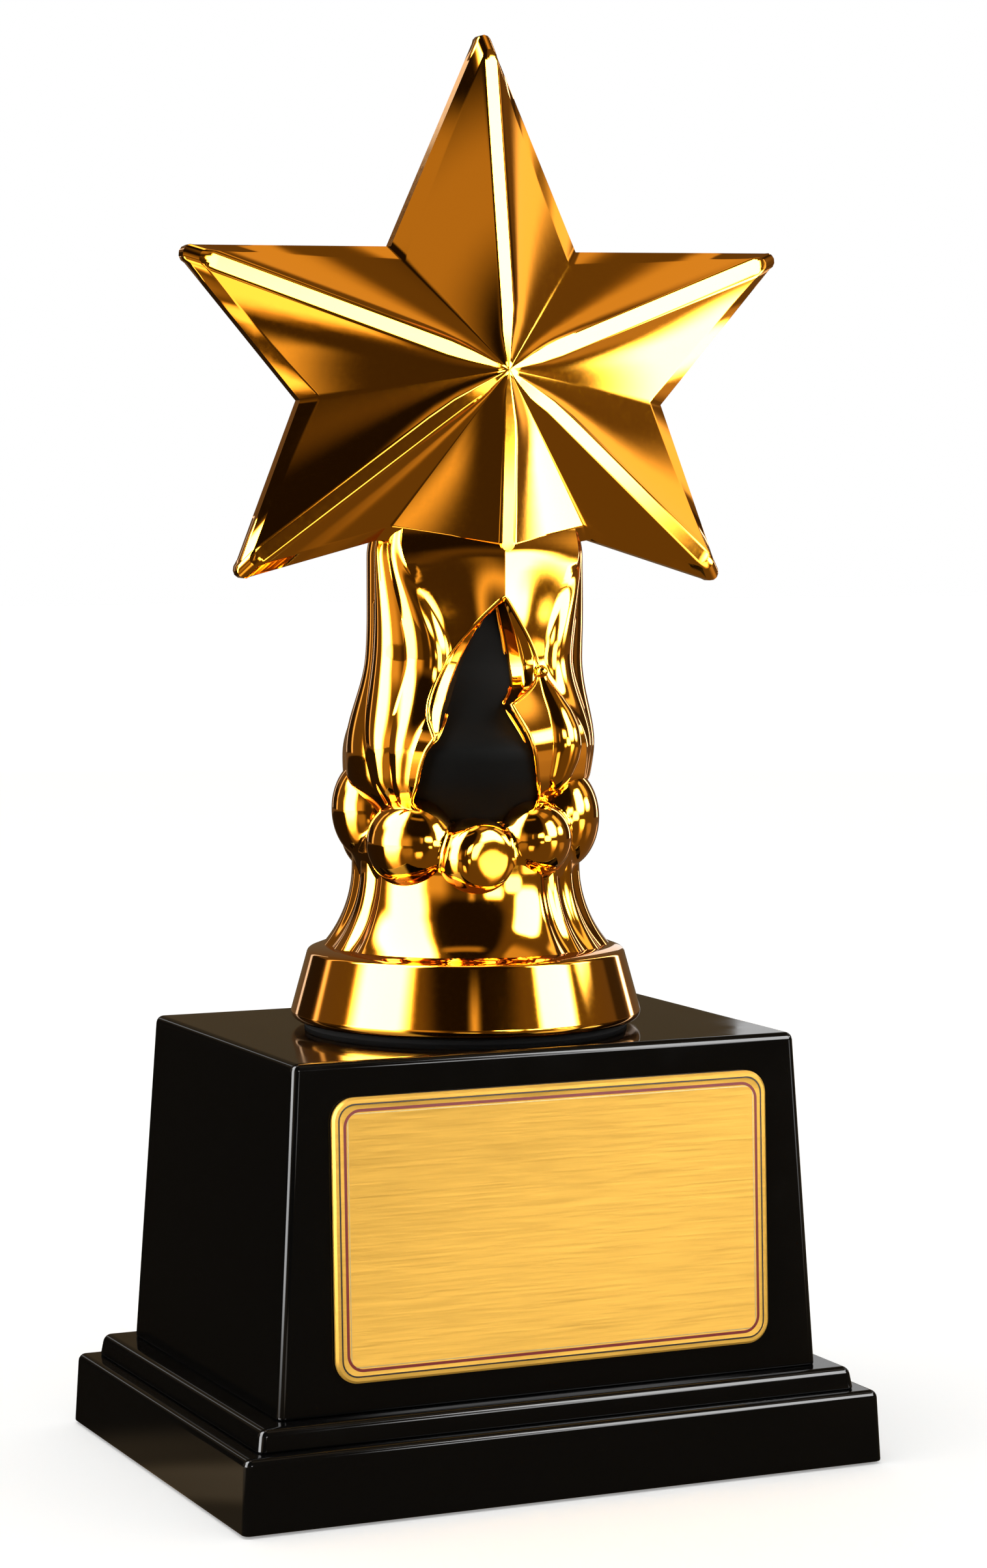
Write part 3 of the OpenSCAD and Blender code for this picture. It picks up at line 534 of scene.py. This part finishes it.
def steer(degrees, pairs, back=False):
    # piecewise turn from the even reed angles to the gathered ones, or back
    size = abs(degrees)
    for (a0, b0), (a1, b1) in zip(pairs, pairs[1:]):
        if back:
            a0, b0, a1, b1 = b0, a0, b1, a1
        if size <= a1:
            return math.copysign(mix(b0, b1, (size - a0) / (a1 - a0)), degrees)
    return degrees

def reedPitch():
    return (360 - 2 * column["prow"]) / column["reeds"]

def columnRadius(t, degrees):
    degrees = turnBetween(degrees, 0)
    angle = math.radians(degrees)
    pairs = reedEdges(t)
    prow = math.radians(pairs[1][1])
    a, b = halfWidth(t), halfDepth(t)
    edge = ovalRadius(a, b, prow)
    upper = changed("upper", t)
    ridge = mix(1, column["ridge"], upper) * b
    slope = (ridge - edge * math.cos(prow)) / (edge * math.sin(prow))
    slope = max(slope, mix(slope, column["prowSlope"], upper))
    if abs(angle) < prow:
        hollow = column["prowHollow"] * math.sin(math.pi * abs(angle) / prow) * upper
        hollow *= 1 - changed("flatten", t)
        return ridge / (math.cos(angle) + slope * abs(math.sin(angle))) - hollow
    evenAngle = steer(degrees, pairs, True) % 360
    wave = abs(math.sin(math.pi * (evenAngle - column["prow"]) / reedPitch()))
    # the first reed stands proud of the prow's face, with a rounded flank
    step = edge - ridge / (math.cos(prow) + slope * math.sin(prow))
    flank = max(0.0, 1 - (abs(angle) - prow) / math.radians(column["flank"]))
    groove = column["reedDepth"] * changed("neck", t) * (1 - wave) * (1 - flank)
    return ovalRadius(a, b, angle) - groove - step * flank * flank

def columnPlace(t, radius, degrees):
    angle = math.radians(degrees)
    return Vector((radius * math.sin(angle), centreY(t) - radius * math.cos(angle),
                   column["neckZ"] + t * column["height"])) * mm

def makeColumn():
    across, along = column["prowPoints"], column["pointsPerReed"]
    angles = [column["prow"] * i / across for i in range(-across, across)]
    angles += [column["prow"] + reedPitch() * i / along for i in range(column["reeds"] * along)]
    rows = []
    for row in range(column["rows"] + 1):
        t = column["end"] * row / column["rows"]
        pairs = reedEdges(t)
        turned = [steer(turnBetween(angle, 0), pairs) for angle in angles]
        rows.append([columnPlace(t, columnRadius(t, angle), angle) for angle in turned])
    bm = bmesh.new()
    growTube(bm, rows)
    sharpen(bm, 38)
    return makePiece("columnShell", bm, gold, ["figure_front", "figure_back"])

columnShell = makeColumn()
print("column made")

# niche: the flame-shaped opening, with splayed faces and a rolled lip

niche = {
    "height": 40.0, "foot": 112.5, "lip": 0.42, "innerLip": 0.22, "between": 5,
    # way in of the sloping faces below and above, and the shares of the height where that changes
    "splay": (2.2, 4.5, 0.35, 0.50), "splayWall": 0.3,
    # how the sloping faces fold: share of the way in, and rise there
    "fold": [(0, 0), (0.2, 0.12), (0.45, 0.42), (0.52, 0.45), (0.6, 0.36), (0.85, 0.1), (1, 0)],
    "cutFrom": -45, "cutTo": 2.6,               # how far in front of and behind the surface it is cut
    # each stretch runs between two sharp corners: across in mm, and the share of the height
    "edge": [[(0, 1), (-4.2, .89), (-8.6, .76), (-12.4, .6), (-13.9, .48), (-13.2, .385)],
             [(-13.2, .385), (-14.8, .315), (-15.4, .2), (-15, .08), (-8.6, .01), (-2, 0), (3, .01),
              (6.8, .08), (5.8, .2), (4.7, .3), (3.1, .41), (.6, .525)],
             [(.6, .525), (5.4, .585), (7.4, .64), (7.8, .7), (6, .8), (3.2, .9), (0, 1)]],
    "inner": [[(.3, .95), (-2, .89), (-3.7, .77), (-6.6, .6), (-9.3, .47), (-11.8, .38)],
              [(-11.8, .38), (-14.2, .31), (-14.9, .2), (-14.6, .09), (-8.6, .02), (-2, .01), (2.9, .02),
               (6.4, .09), (5.3, .2), (4.2, .3), (2.6, .41), (.9, .53)],
              [(.9, .53), (2.8, .585), (3, .65), (2.8, .7), (1.9, .8), (1, .88), (.3, .95)]],
}

def curveThrough(points, between):
    # soft curve through the points; its ends stay sharp corners
    out = []
    for i in range(len(points) - 1):
        p1, p2 = Vector(points[i]), Vector(points[i + 1])
        p0 = Vector(points[i - 1]) if i else 2 * p1 - p2
        p3 = Vector(points[i + 2]) if i + 2 < len(points) else 2 * p2 - p1
        for k in range(between):
            u = k / between
            out.append(0.5 * (2 * p1 + (p2 - p0) * u + (2 * p0 - 5 * p1 + 4 * p2 - p3) * u * u
                              + (3 * p1 - p0 - 3 * p2 + p3) * u ** 3))
    return out

def frontY(x, z):
    # the front surface of the shaft straight ahead of a point
    t = (z - column["neckZ"]) / column["height"]
    low, high = -100.0, 100.0
    for step in range(30):
        middle = (low + high) / 2
        if columnRadius(t, middle) * math.sin(math.radians(middle)) < x:
            low = middle
        else:
            high = middle
    return centreY(t) - columnRadius(t, low) * math.cos(math.radians(low))

def nichePoints(kind, deep=0.0, fixed=None):
    low, high, start, end = niche["splay"]
    points = []
    for stretch in niche[kind]:
        for x, share in curveThrough(stretch, niche["between"]):
            z = niche["foot"] + share * niche["height"]
            depth = deep * mix(low, high, smoothStep((share - start) / (end - start)))
            points.append(Vector((x, fixed if fixed is not None else frontY(x, z) + depth, z)))
    return points

def cutNiche(piece):
    bm = bmesh.new()
    bridgeRows(bm, [[point * mm for point in points] for points in (
        nichePoints("edge", fixed=niche["cutFrom"]), nichePoints("edge", niche["cutTo"]))])
    closeHoles(bm)
    bmesh.ops.triangulate(bm, faces=bm.faces)
    bmesh.ops.recalc_face_normals(bm, faces=bm.faces)
    tool = toObject("nicheTool", bm)
    cut = piece.modifiers.new("niche", "BOOLEAN")
    cut.operation = "DIFFERENCE"
    cut.solver = "EXACT"
    cut.object = tool
    done = applyModifiers(piece)
    bpy.data.objects.remove(tool)
    bm = bmesh.new()
    bm.from_mesh(done)
    bmesh.ops.dissolve_degenerate(bm, dist=0.01 * mm, edges=bm.edges)
    sharpen(bm, 32)
    bm.to_mesh(done)
    bm.free()

def makeSplay():
    # sloping faces from the lip down to the inner border, folded along a soft ridge
    bm = bmesh.new()
    edge, inner = nichePoints("edge", 0.02), nichePoints("inner", 1.0)
    rows = []
    for share, lift in niche["fold"]:
        rows.append([])
        for p, q in zip(edge, inner):
            point = p.lerp(q, share)
            rows[-1].append(Vector((point.x, point.y - lift * (q - p).length * 0.5, point.z)) * mm)
    bridgeRows(bm, rows)
    bmesh.ops.solidify(bm, geom=bm.faces[:], thickness=-niche["splayWall"] * mm)
    makePiece("nicheSplay", bm, gold, ["figure_front"])

def makeLip(name, points, thick):
    # a fine rolled bead that follows the opening
    bm = bmesh.new()
    rings = []
    for before, point, after in zip([points[-1]] + points, points, points[1:] + [points[0]]):
        made = bmesh.ops.create_circle(bm, cap_ends=False, segments=10, radius=thick * mm)
        turn = (after - before).normalized().to_track_quat("Z", "Y").to_matrix().to_4x4()
        bmesh.ops.transform(bm, matrix=Matrix.Translation(point * mm) @ turn, verts=made["verts"])
        rings.append([e for e in bm.edges if e.verts[0] in made["verts"]])
    for first, second in zip(rings, rings[1:] + [rings[0]]):
        bmesh.ops.bridge_loops(bm, edges=first + second)
    makePiece(name, bm, gold, ["figure_front"])

cutNiche(columnShell)
makeSplay()
makeLip("nicheLip", nichePoints("edge", 0.08), niche["lip"])
makeLip("nicheInnerLip", nichePoints("inner", 1.0), niche["innerLip"])

core = {"from": 0.015, "to": 0.6, "rows": 30, "points": 64, "inset": (2.4, 5.0), "insetAt": (0.17, 0.25)}

def makeCore():
    start, end = core["insetAt"]
    rows = []
    for row in range(core["rows"] + 1):
        t = mix(core["from"], core["to"], row / core["rows"])
        inset = mix(*core["inset"], smoothStep((t - start) / (end - start)))
        a, b = halfWidth(t) - inset, halfDepth(t) - inset
        turns = [360 * i / core["points"] for i in range(core["points"])]
        rows.append([columnPlace(t, ovalRadius(a, b, math.radians(turn)), turn) for turn in turns])
    bm = bmesh.new()
    growTube(bm, rows)
    makePiece("nicheCore", bm, coreBlack, ["core_insert"])

makeCore()

bud = {
    # down the middle of the bud: across, share of the niche's height, radius
    "spine": [(8.3, .67, .9), (8.7, .63, 1.1), (9.6, .57, 2.1), (10.6, .5, 2.8), (11.2, .42, 3.3),
              (11.4, .34, 3.5), (11.2, .27, 3.3), (10.6, .2, 2.7), (10.0, .14, 1.4)],
    "between": 5, "flat": 0.8, "sunk": 0.25, "knot": (8.3, 0.665, 1.15), "knotProud": 0.2,
}

def makeBud():
    # a leaf bud that lies against the shaft, its tip tucked under a small knot
    bm = bmesh.new()
    spine, between = bud["spine"], bud["between"]
    points = [[mix(p, q, k / between) for p, q in zip(first, second)]
              for first, second in zip(spine, spine[1:]) for k in range(between)] + [spine[-1]]
    made = bmesh.ops.create_uvsphere(bm, u_segments=40, v_segments=len(points) + 1, radius=1.0)
    levels = sorted({round(v.co.z, 5) for v in made["verts"]}, reverse=True)
    for vert in made["verts"]:
        level = min(range(len(levels)), key=lambda i: abs(levels[i] - vert.co.z))
        x, share, radius = points[min(max(level - 1, 0), len(points) - 1)]
        z = niche["foot"] + share * niche["height"]
        around = Vector((vert.co.x, vert.co.y, 0))
        drop = 0.0
        if around.length > 1e-6:
            around.normalize()
        else:
            drop = math.copysign(radius * 0.3, vert.co.z)   # the poles close in a low dome
        vert.co = Vector((x + around.x * radius,
                          frontY(x, z) + bud["sunk"] * radius + around.y * radius * bud["flat"],
                          z + drop)) * mm
    softenPoints(bm)
    x, share, radius = bud["knot"]
    z = niche["foot"] + share * niche["height"]
    knot = bmesh.ops.create_uvsphere(bm, u_segments=24, v_segments=16, radius=radius * mm)
    bmesh.ops.translate(bm, verts=knot["verts"], vec=Vector((x, frontY(x, z) - bud["knotProud"], z)) * mm)
    makePiece("leafBud", bm, gold, ["figure_front"])

makeBud()
print("niche cut")

# star: five rays and a foot ray that runs into the prow, chamfered ridges, a bevelled rim

star = {
    "z": 191.4, "y": -5.5, "front": 11.6, "back": 10.0, "rim": 2.8, "wall": 1.1, "bevel": 3.1,
    "hollow": 0.022, "bandShare": 0.16, "tipInset": 0.9, "arcSteps": 6,
    # width of each ridge's chamfer to its left and right, seen from the middle outward
    "bands": [(0.9, 1.9), (1.5, 1.5), (2.1, 0.9), (1.8, 0.8), (0.9, 2.1), (1.6, 1.6)],
    "tips": [(0, 58.2), (57.5, 21.2), (46.1, -36.2), (0, -34), (-45.9, -35.2), (-55.6, 19.5)],
    "tipRims": [2.8, 2.8, 2.8, 10.05, 2.8, 2.8],                          # the foot ray hardly drops
    "notches": [(17.7, 21.2), (34.6, -5.4), (20.5, -29.4), (-20.5, -29.4), (-34.6, -5.4), (-17.7, 21.2)],
    "shares": (0, .03, .08, .16, .28, .42, .56, .7, .82, .91, .97, 1),    # from a valley across to a ridge
    "rings": (.993, .97, .9, .8, .7, .6, .5, .4, .3, .2, .12, .06, .02),  # from the rim to the middle
}

def starRing(inward, height, side):
    # one turn round the star: inward is 1 at the rim and 0 in the middle; height 0 gives the flat outline
    peak = star["front"] if side < 0 else star["back"]
    ring = []
    for i in range(len(star["tips"])):
        tip, tall = Vector(star["tips"][i]), star["tipRims"][i]
        aim = tip.normalized()
        cross = Vector((aim.y, -aim.x))
        blunt = sum(star["bands"][i]) / 2
        middle = aim * (tip.length - blunt - (star["bevel"] * star["tipInset"] if height else 0)) * inward
        widest = star["bandShare"] * inward * tip.length
        halves = [min(width, widest) if height else blunt for width in star["bands"][i]]
        flanks = []
        for flank, half in zip((-1, 1), halves):
            notch = Vector(star["notches"][i - 1 if flank < 0 else i])
            if height:
                notch = notch * (1 - star["bevel"] / notch.length)
            edge = middle + cross * half * flank
            edgeHeight = mix(peak, tall, inward) - (peak - tall) * half / tip.length
            flanks.append([])
            for share in star["shares"]:
                dish = star["hollow"] * 4 * share * (1 - share) * (notch - tip).length * inward
                level = mix(mix(peak, star["rim"], inward), edgeHeight, share) - dish
                flanks[-1].append(((notch * inward).lerp(edge, share), height * level))
        left, right = flanks
        ring += left
        for k in range(1, star["arcSteps"]):
            share = k / star["arcSteps"]
            turn = math.radians(mix(-90, 90, share))
            bulge, slide = (blunt * math.cos(turn), (math.sin(turn) + 1) / 2) if inward == 1 else (0, share)
            spot = middle + cross * mix(-halves[0], halves[1], slide) + aim * bulge
            ring.append((spot, mix(left[-1][1], right[-1][1], share)))
        ring += right[::-1][:-1]
    return [Vector((spot.x, side * level, spot.y)) for spot, level in ring]

def makeStar():
    bm = bmesh.new()
    outline = starRing(1, 0.0, -1)
    middleEdges, middleNumbers = startRing(bm, outline)
    for side in (-1, 1):
        wall = [Vector((p.x, side * star["wall"], p.z)) for p in outline]
        rim = starRing(1, 1.0, side)
        rows = [wall] + [[p.lerp(q, part) for p, q in zip(wall, rim)] for part in (0.1, 0.9)] + [rim]
        rows += [starRing(share, 1.0, side) for share in star["rings"]]
        edges, numbers = middleEdges, middleNumbers
        for places in rows:
            edges, numbers = growRing(bm, edges, numbers, places)
        peak = star["front"] if side < 0 else star["back"]
        bmesh.ops.pointmerge(bm, verts=list(numbers), merge_co=Vector((0, side * peak * 0.998, 0)))
    bmesh.ops.scale(bm, vec=(mm, mm, mm), verts=bm.verts)
    bmesh.ops.translate(bm, verts=bm.verts, vec=Vector((0, star["y"], star["z"])) * mm)
    bmesh.ops.remove_doubles(bm, verts=bm.verts, dist=0.01 * mm)
    sharpen(bm, 50)
    makePiece("starRays", bm, gold, ["figure_front", "figure_back"], weld=0.01)

makeStar()
print("star made")

# floor, light and camera

floorSetup = {"size": 6.0, "paper": "#f4f4f2", "fibre": 1.5 * mm, "lift": 0.285}

def seenDirectly(tree):
    # 1 for camera, glossy and transmission rays, 0 for the light that falls on the object
    path = addNode(tree, "ShaderNodeLightPath")
    seen = addNode(tree, "ShaderNodeMath", {"operation": "MAXIMUM"},
                   {0: path.outputs["Is Camera Ray"], 1: path.outputs["Is Glossy Ray"]})
    seenToo = addNode(tree, "ShaderNodeMath", {"operation": "MAXIMUM"},
                      {0: seen.outputs[0], 1: path.outputs["Is Transmission Ray"]})
    return seenToo.outputs[0]

def makeFloor():
    bm = bmesh.new()
    bmesh.ops.create_grid(bm, x_segments=2, y_segments=2, size=floorSetup["size"])
    material, tree, shader = newMaterial("matteWhitePaper")
    place = addNode(tree, "ShaderNodeTexCoord")
    fibre = addNode(tree, "ShaderNodeTexNoise", {"Scale": 1 / floorSetup["fibre"]},
                    {"Vector": place.outputs["Object"]})
    bump = addNode(tree, "ShaderNodeBump", {"Strength": 0.05, "Distance": 0.02 * mm},
                   {"Height": fibre.outputs["Fac"]})
    tree.links.new(bump.outputs["Normal"], shader.inputs["Normal"])
    shader.inputs["Base Color"].default_value = toLinear(floorSetup["paper"])
    shader.inputs["Roughness"].default_value = 0.9
    shader.inputs["Specular IOR Level"].default_value = 0.1
    # the paper is lifted to white for the camera and for reflections; the shadow stays
    lift = addNode(tree, "ShaderNodeMath", {"operation": "MULTIPLY", 1: floorSetup["lift"]},
                   {0: seenDirectly(tree)})
    glow = addNode(tree, "ShaderNodeEmission", {"Color": (1, 1, 1, 1)}, {"Strength": lift.outputs[0]})
    both = addNode(tree, "ShaderNodeAddShader",
                   links={0: shader.outputs["BSDF"], 1: glow.outputs["Emission"]})
    output = next(n for n in tree.nodes if n.bl_idname == "ShaderNodeOutputMaterial")
    tree.links.new(both.outputs[0], output.inputs["Surface"])
    toObject("paleFloor", bm, material)

makeFloor()

worldSetup = {"fill": 0.8}

def makeWorld():
    world = bpy.data.worlds.new("whiteStudio")
    bpy.context.scene.world = world
    world.use_nodes = True
    tree = world.node_tree
    tree.nodes.clear()
    strength = addNode(tree, "ShaderNodeMapRange", {"To Min": worldSetup["fill"], "To Max": 1.0},
                       {"Value": seenDirectly(tree)})
    glow = addNode(tree, "ShaderNodeBackground", {"Color": (1, 1, 1, 1)},
                   {"Strength": strength.outputs["Result"]})
    addNode(tree, "ShaderNodeOutputWorld", links={"Surface": glow.outputs["Background"]})

makeWorld()

overhead = {"place": (-0.35, -0.15, 1.5), "aim": (0, 0, 0.1), "size": 0.9, "power": 2.0}

def makeOverhead():
    data = bpy.data.lights.new("overheadPanel", "AREA")
    data.shape = "SQUARE"
    data.size = overhead["size"]
    data.energy = overhead["power"]
    lamp = bpy.data.objects.new("overheadPanel", data)
    bpy.context.collection.objects.link(lamp)
    lamp.location = overhead["place"]
    lamp.rotation_mode = "QUATERNION"
    lamp.rotation_quaternion = (Vector(overhead["aim"]) - lamp.location).to_track_quat("-Z", "Y")
    lamp.visible_glossy = False

makeOverhead()

# tent of dim warm cloth round the table, with softboxes and black cloth let into it, which only
# reflections see; bearings run from the front (0) to the right (+), and each patch lies over the last
tent = {
    "radius": 1.6, "centre": 0.12, "floor": -0.05, "steps": 240, "cloth": 0.13, "clothColour": "#ffd8a0",
    "lampGlow": (0.2, 3.0),                                              # from the cloth's colour to white
    # middle bearing and elevation, half width and height, glow, soft edge; all but the glow in degrees
    "patches": [
        (-20, 45, 39, 33, 0.012, 16), (-18, -3, 25, 14, 0.05, 16),       # black cloth round the camera
        (-94, 48, 30, 26, 26, 16), (-85, 8, 21, 30, 26, 16),             # left softbox
        (-54, 2, 14, 14, 0.8, 20), (4, 10, 9, 5, 20, 7),
        (102, 40, 30, 8, 0.03, 10), (101, 6, 9, 26, 0.04, 6),
        (116, 18, 3, 26, 5.0, 4), (-140, 18, 3, 24, 1.6, 4),             # slit lights behind
        (50, 62, 20, 9, 0.7, 10), (0, 90, 180, 13, 2.4, 8), (-156, -2, 13, 16, 0.02, 8),
    ],
    "gaps": [(146, 150), (-172, -168)], "gapTop": 0.9,                   # slits where the white room shows
}

# near boards: bearing from, to, height from, to in metres, distance, glow, soft edge in mm
nearBoards = {
    "rightSoftbox": (22, 57, 0.115, 0.43, 0.34, 26, 40),
    "amberBoard": (-62, 6, 0.222, 0.292, 0.1, 0.45, 30),
    "lowRidgeLamp": (12, 34, 0.075, 0.165, 0.3, 16, 22),
    "prowStrip": (-25, -12, 0.105, 0.172, 0.2, 1.0, 24),
    "lowRightSoftbox": (61, 86, 0.165, 0.32, 0.2, 1.5, 30),
    "lowRightStrip": (54, 77, 0.12, 0.195, 0.2, 22, 24),
}

# painted reflections of the softboxes and black cloth, as a glossy table would show them, laid on the dark
# table as patches: bearing, distance, half width in degrees, half length in m, glow, soft edge
paintedTableReflections = [
    (-18, 1.0, 25, 0.8, 0.05, 10), (-85, 1.05, 21, 0.8, 20, 16), (43, 0.9, 9, 0.58, 5.0, 9),
    (-24, 0.28, 9, 0.09, 2.2, 6), (72, 0.5, 10, 0.25, 0.5, 8), (120, 0.6, 3, 0.3, 1.5, 4),
    (7, 1.0, 5, 0.35, 6.0, 5), (-50, 0.45, 14, 0.25, 0.4, 12), (-140, 0.6, 40, 0.6, 0.02, 10),
]

def insideOf(across, along, halfAcross, halfAlong, soft):
    # rounded box: 1 well inside, falling softly to 0 at its edge
    corner = min(halfAcross, halfAlong) * 0.7
    qx, qy = abs(across) - halfAcross + corner, abs(along) - halfAlong + corner
    away = math.hypot(max(qx, 0), max(qy, 0)) + min(max(qx, qy), 0) - corner
    return smoothStep(0.5 - away / soft) ** 2

def glowAt(bearing, elevation):
    total = tent["cloth"]
    for middle, up, halfWide, halfTall, level, soft in tent["patches"]:
        across = 0 if halfWide >= 180 else turnBetween(bearing, middle)
        total = mix(total, level, insideOf(across, elevation - up, halfWide, halfTall, soft))
    return total

def paintedTableReflectionAt(bearing, distance):
    # the glow here is a painted reflection of the softboxes and black cloth, not the table's own colour
    total = tent["cloth"]
    for middle, away, halfWide, halfLong, level, soft in paintedTableReflections:
        along = (distance - away) / halfLong * halfWide
        total = mix(total, level, insideOf(turnBetween(bearing, middle), along, halfWide, halfWide, soft))
    return total

def bearingOf(point):
    return math.degrees(math.atan2(point.x, -point.y))

def makeGlowCloth():
    material = bpy.data.materials.new("glowCloth")
    material.use_nodes = True
    tree = material.node_tree
    tree.nodes.clear()
    level = addNode(tree, "ShaderNodeAttribute", {"attribute_name": "glow"})
    cover = addNode(tree, "ShaderNodeAttribute", {"attribute_name": "cover"})
    # bare cloth is a warm brown, the lamps behind it white
    dim, bright = tent["lampGlow"]
    lit = addNode(tree, "ShaderNodeMapRange", {"From Min": dim, "From Max": bright},
                  {"Value": level.outputs["Fac"]})
    shade = addNode(tree, "ShaderNodeMix", {"data_type": "RGBA"}, {0: lit.outputs["Result"]})
    shade.inputs[6].default_value = toLinear(tent["clothColour"])
    shade.inputs[7].default_value = (1, 1, 1, 1)
    glow = addNode(tree, "ShaderNodeEmission",
                   links={"Color": shade.outputs[2], "Strength": level.outputs["Fac"]})
    clear = addNode(tree, "ShaderNodeBsdfTransparent")
    both = addNode(tree, "ShaderNodeMixShader", links={
        0: cover.outputs["Fac"], 1: clear.outputs["BSDF"], 2: glow.outputs["Emission"]})
    addNode(tree, "ShaderNodeOutputMaterial", links={"Surface": both.outputs["Shader"]})
    return material

def hangCloth(name, bm, material, painter):
    # the painter gives the glow and the cover at a place; only reflections see the cloth
    glow = bm.verts.layers.float.new("glow")
    cover = bm.verts.layers.float.new("cover")
    for v in bm.verts:
        v[glow], v[cover] = painter(v.co)
    cloth = toObject(name, bm, material)
    cloth.visible_camera = False
    cloth.visible_diffuse = False
    cloth.visible_shadow = False
    cloth.visible_transmission = False
    cloth.visible_volume_scatter = False

def makeStudioTent(material):
    bm = bmesh.new()
    centre = Vector((0, 0, tent["centre"]))
    bmesh.ops.create_uvsphere(bm, u_segments=tent["steps"], v_segments=tent["steps"] // 2,
                              radius=tent["radius"])
    bmesh.ops.translate(bm, verts=bm.verts, vec=centre)
    bmesh.ops.delete(bm, geom=[v for v in bm.verts if v.co.z < tent["floor"]], context="VERTS")
    slits = []
    for face in bm.faces:
        middle = face.calc_center_median()
        if middle.z < tent["gapTop"] and any(g0 < bearingOf(middle) < g1 for g0, g1 in tent["gaps"]):
            slits.append(face)
    bmesh.ops.delete(bm, geom=slits, context="FACES")
    def paint(co):
        place = co - centre
        return glowAt(bearingOf(place), math.degrees(math.asin(place.z / place.length))), 1.0
    hangCloth("studioTent", bm, material, paint)

def makeTableWithPaintedReflections(material):
    # rings that widen outward from a small hole under the base, a hair above the floor; the softboxes'
    # reflections are painted onto them as glowing patches
    bm = bmesh.new()
    bmesh.ops.create_circle(bm, cap_ends=False, segments=tent["steps"], radius=0.01)
    edges, distance = list(bm.edges), 0.01
    while distance < tent["radius"]:
        grown = bmesh.ops.extrude_edge_only(bm, edges=edges)["geom"]
        verts = [g for g in grown if isinstance(g, bmesh.types.BMVert)]
        inRing = set(verts)
        edges = [g for g in grown if isinstance(g, bmesh.types.BMEdge) and all(v in inRing for v in g.verts)]
        wider = distance * 1.12 + 0.004
        bmesh.ops.scale(bm, vec=Vector((1, 1, 1)) * wider / distance, verts=verts)
        distance = wider
    bmesh.ops.translate(bm, verts=bm.verts, vec=(0, 0, 0.3 * mm))
    hangCloth("tableWithPaintedReflections", bm, material,
              lambda co: (paintedTableReflectionAt(bearingOf(co), math.hypot(co.x, co.y)), 1.0))

def makeBoard(name, material, start, end, low, high, away, level, soft):
    # part of a cylinder round the object, whose cover fades out along its edges
    bm = bmesh.new()
    bmesh.ops.create_grid(bm, x_segments=40, y_segments=40, size=0.5)
    for v in bm.verts:
        bearing = math.radians(mix(start, end, v.co.x + 0.5))
        v.co = Vector((away * math.sin(bearing), -away * math.cos(bearing), mix(low, high, v.co.y + 0.5)))
    soft = soft * mm
    half = math.radians(end - start) / 2 * away
    def paint(co):
        across = math.radians(bearingOf(co) - (start + end) / 2) * away
        return level, insideOf(across, co.z - (low + high) / 2, half - soft / 2, (high - low) / 2 - soft / 2,
                               soft)
    hangCloth(name, bm, material, paint)

def makeTent():
    material = makeGlowCloth()
    makeStudioTent(material)
    makeTableWithPaintedReflections(material)
    for name, board in nearBoards.items():
        makeBoard(name, material, *board)

makeTent()

cameraSetup = {"place": (-0.27250, -0.60718, 0.16650), "heading": 24.546, "down": 4.105, "lens": 86.21}

def makeCamera():
    data = bpy.data.cameras.new("viewCamera")
    data.lens = cameraSetup["lens"]
    data.sensor_width = 36
    camera = bpy.data.objects.new("viewCamera", data)
    bpy.context.collection.objects.link(camera)
    heading, down = math.radians(cameraSetup["heading"]), math.radians(cameraSetup["down"])
    ahead = Vector((math.sin(heading) * math.cos(down), math.cos(heading) * math.cos(down), -math.sin(down)))
    camera.location = cameraSetup["place"]
    camera.rotation_mode = "QUATERNION"
    camera.rotation_quaternion = ahead.to_track_quat("-Z", "Y")
    bpy.context.scene.camera = camera

makeCamera()
bpy.context.scene.view_settings.view_transform = "Standard"
print("floor, light and camera set")

bpy.context.view_layer.update()
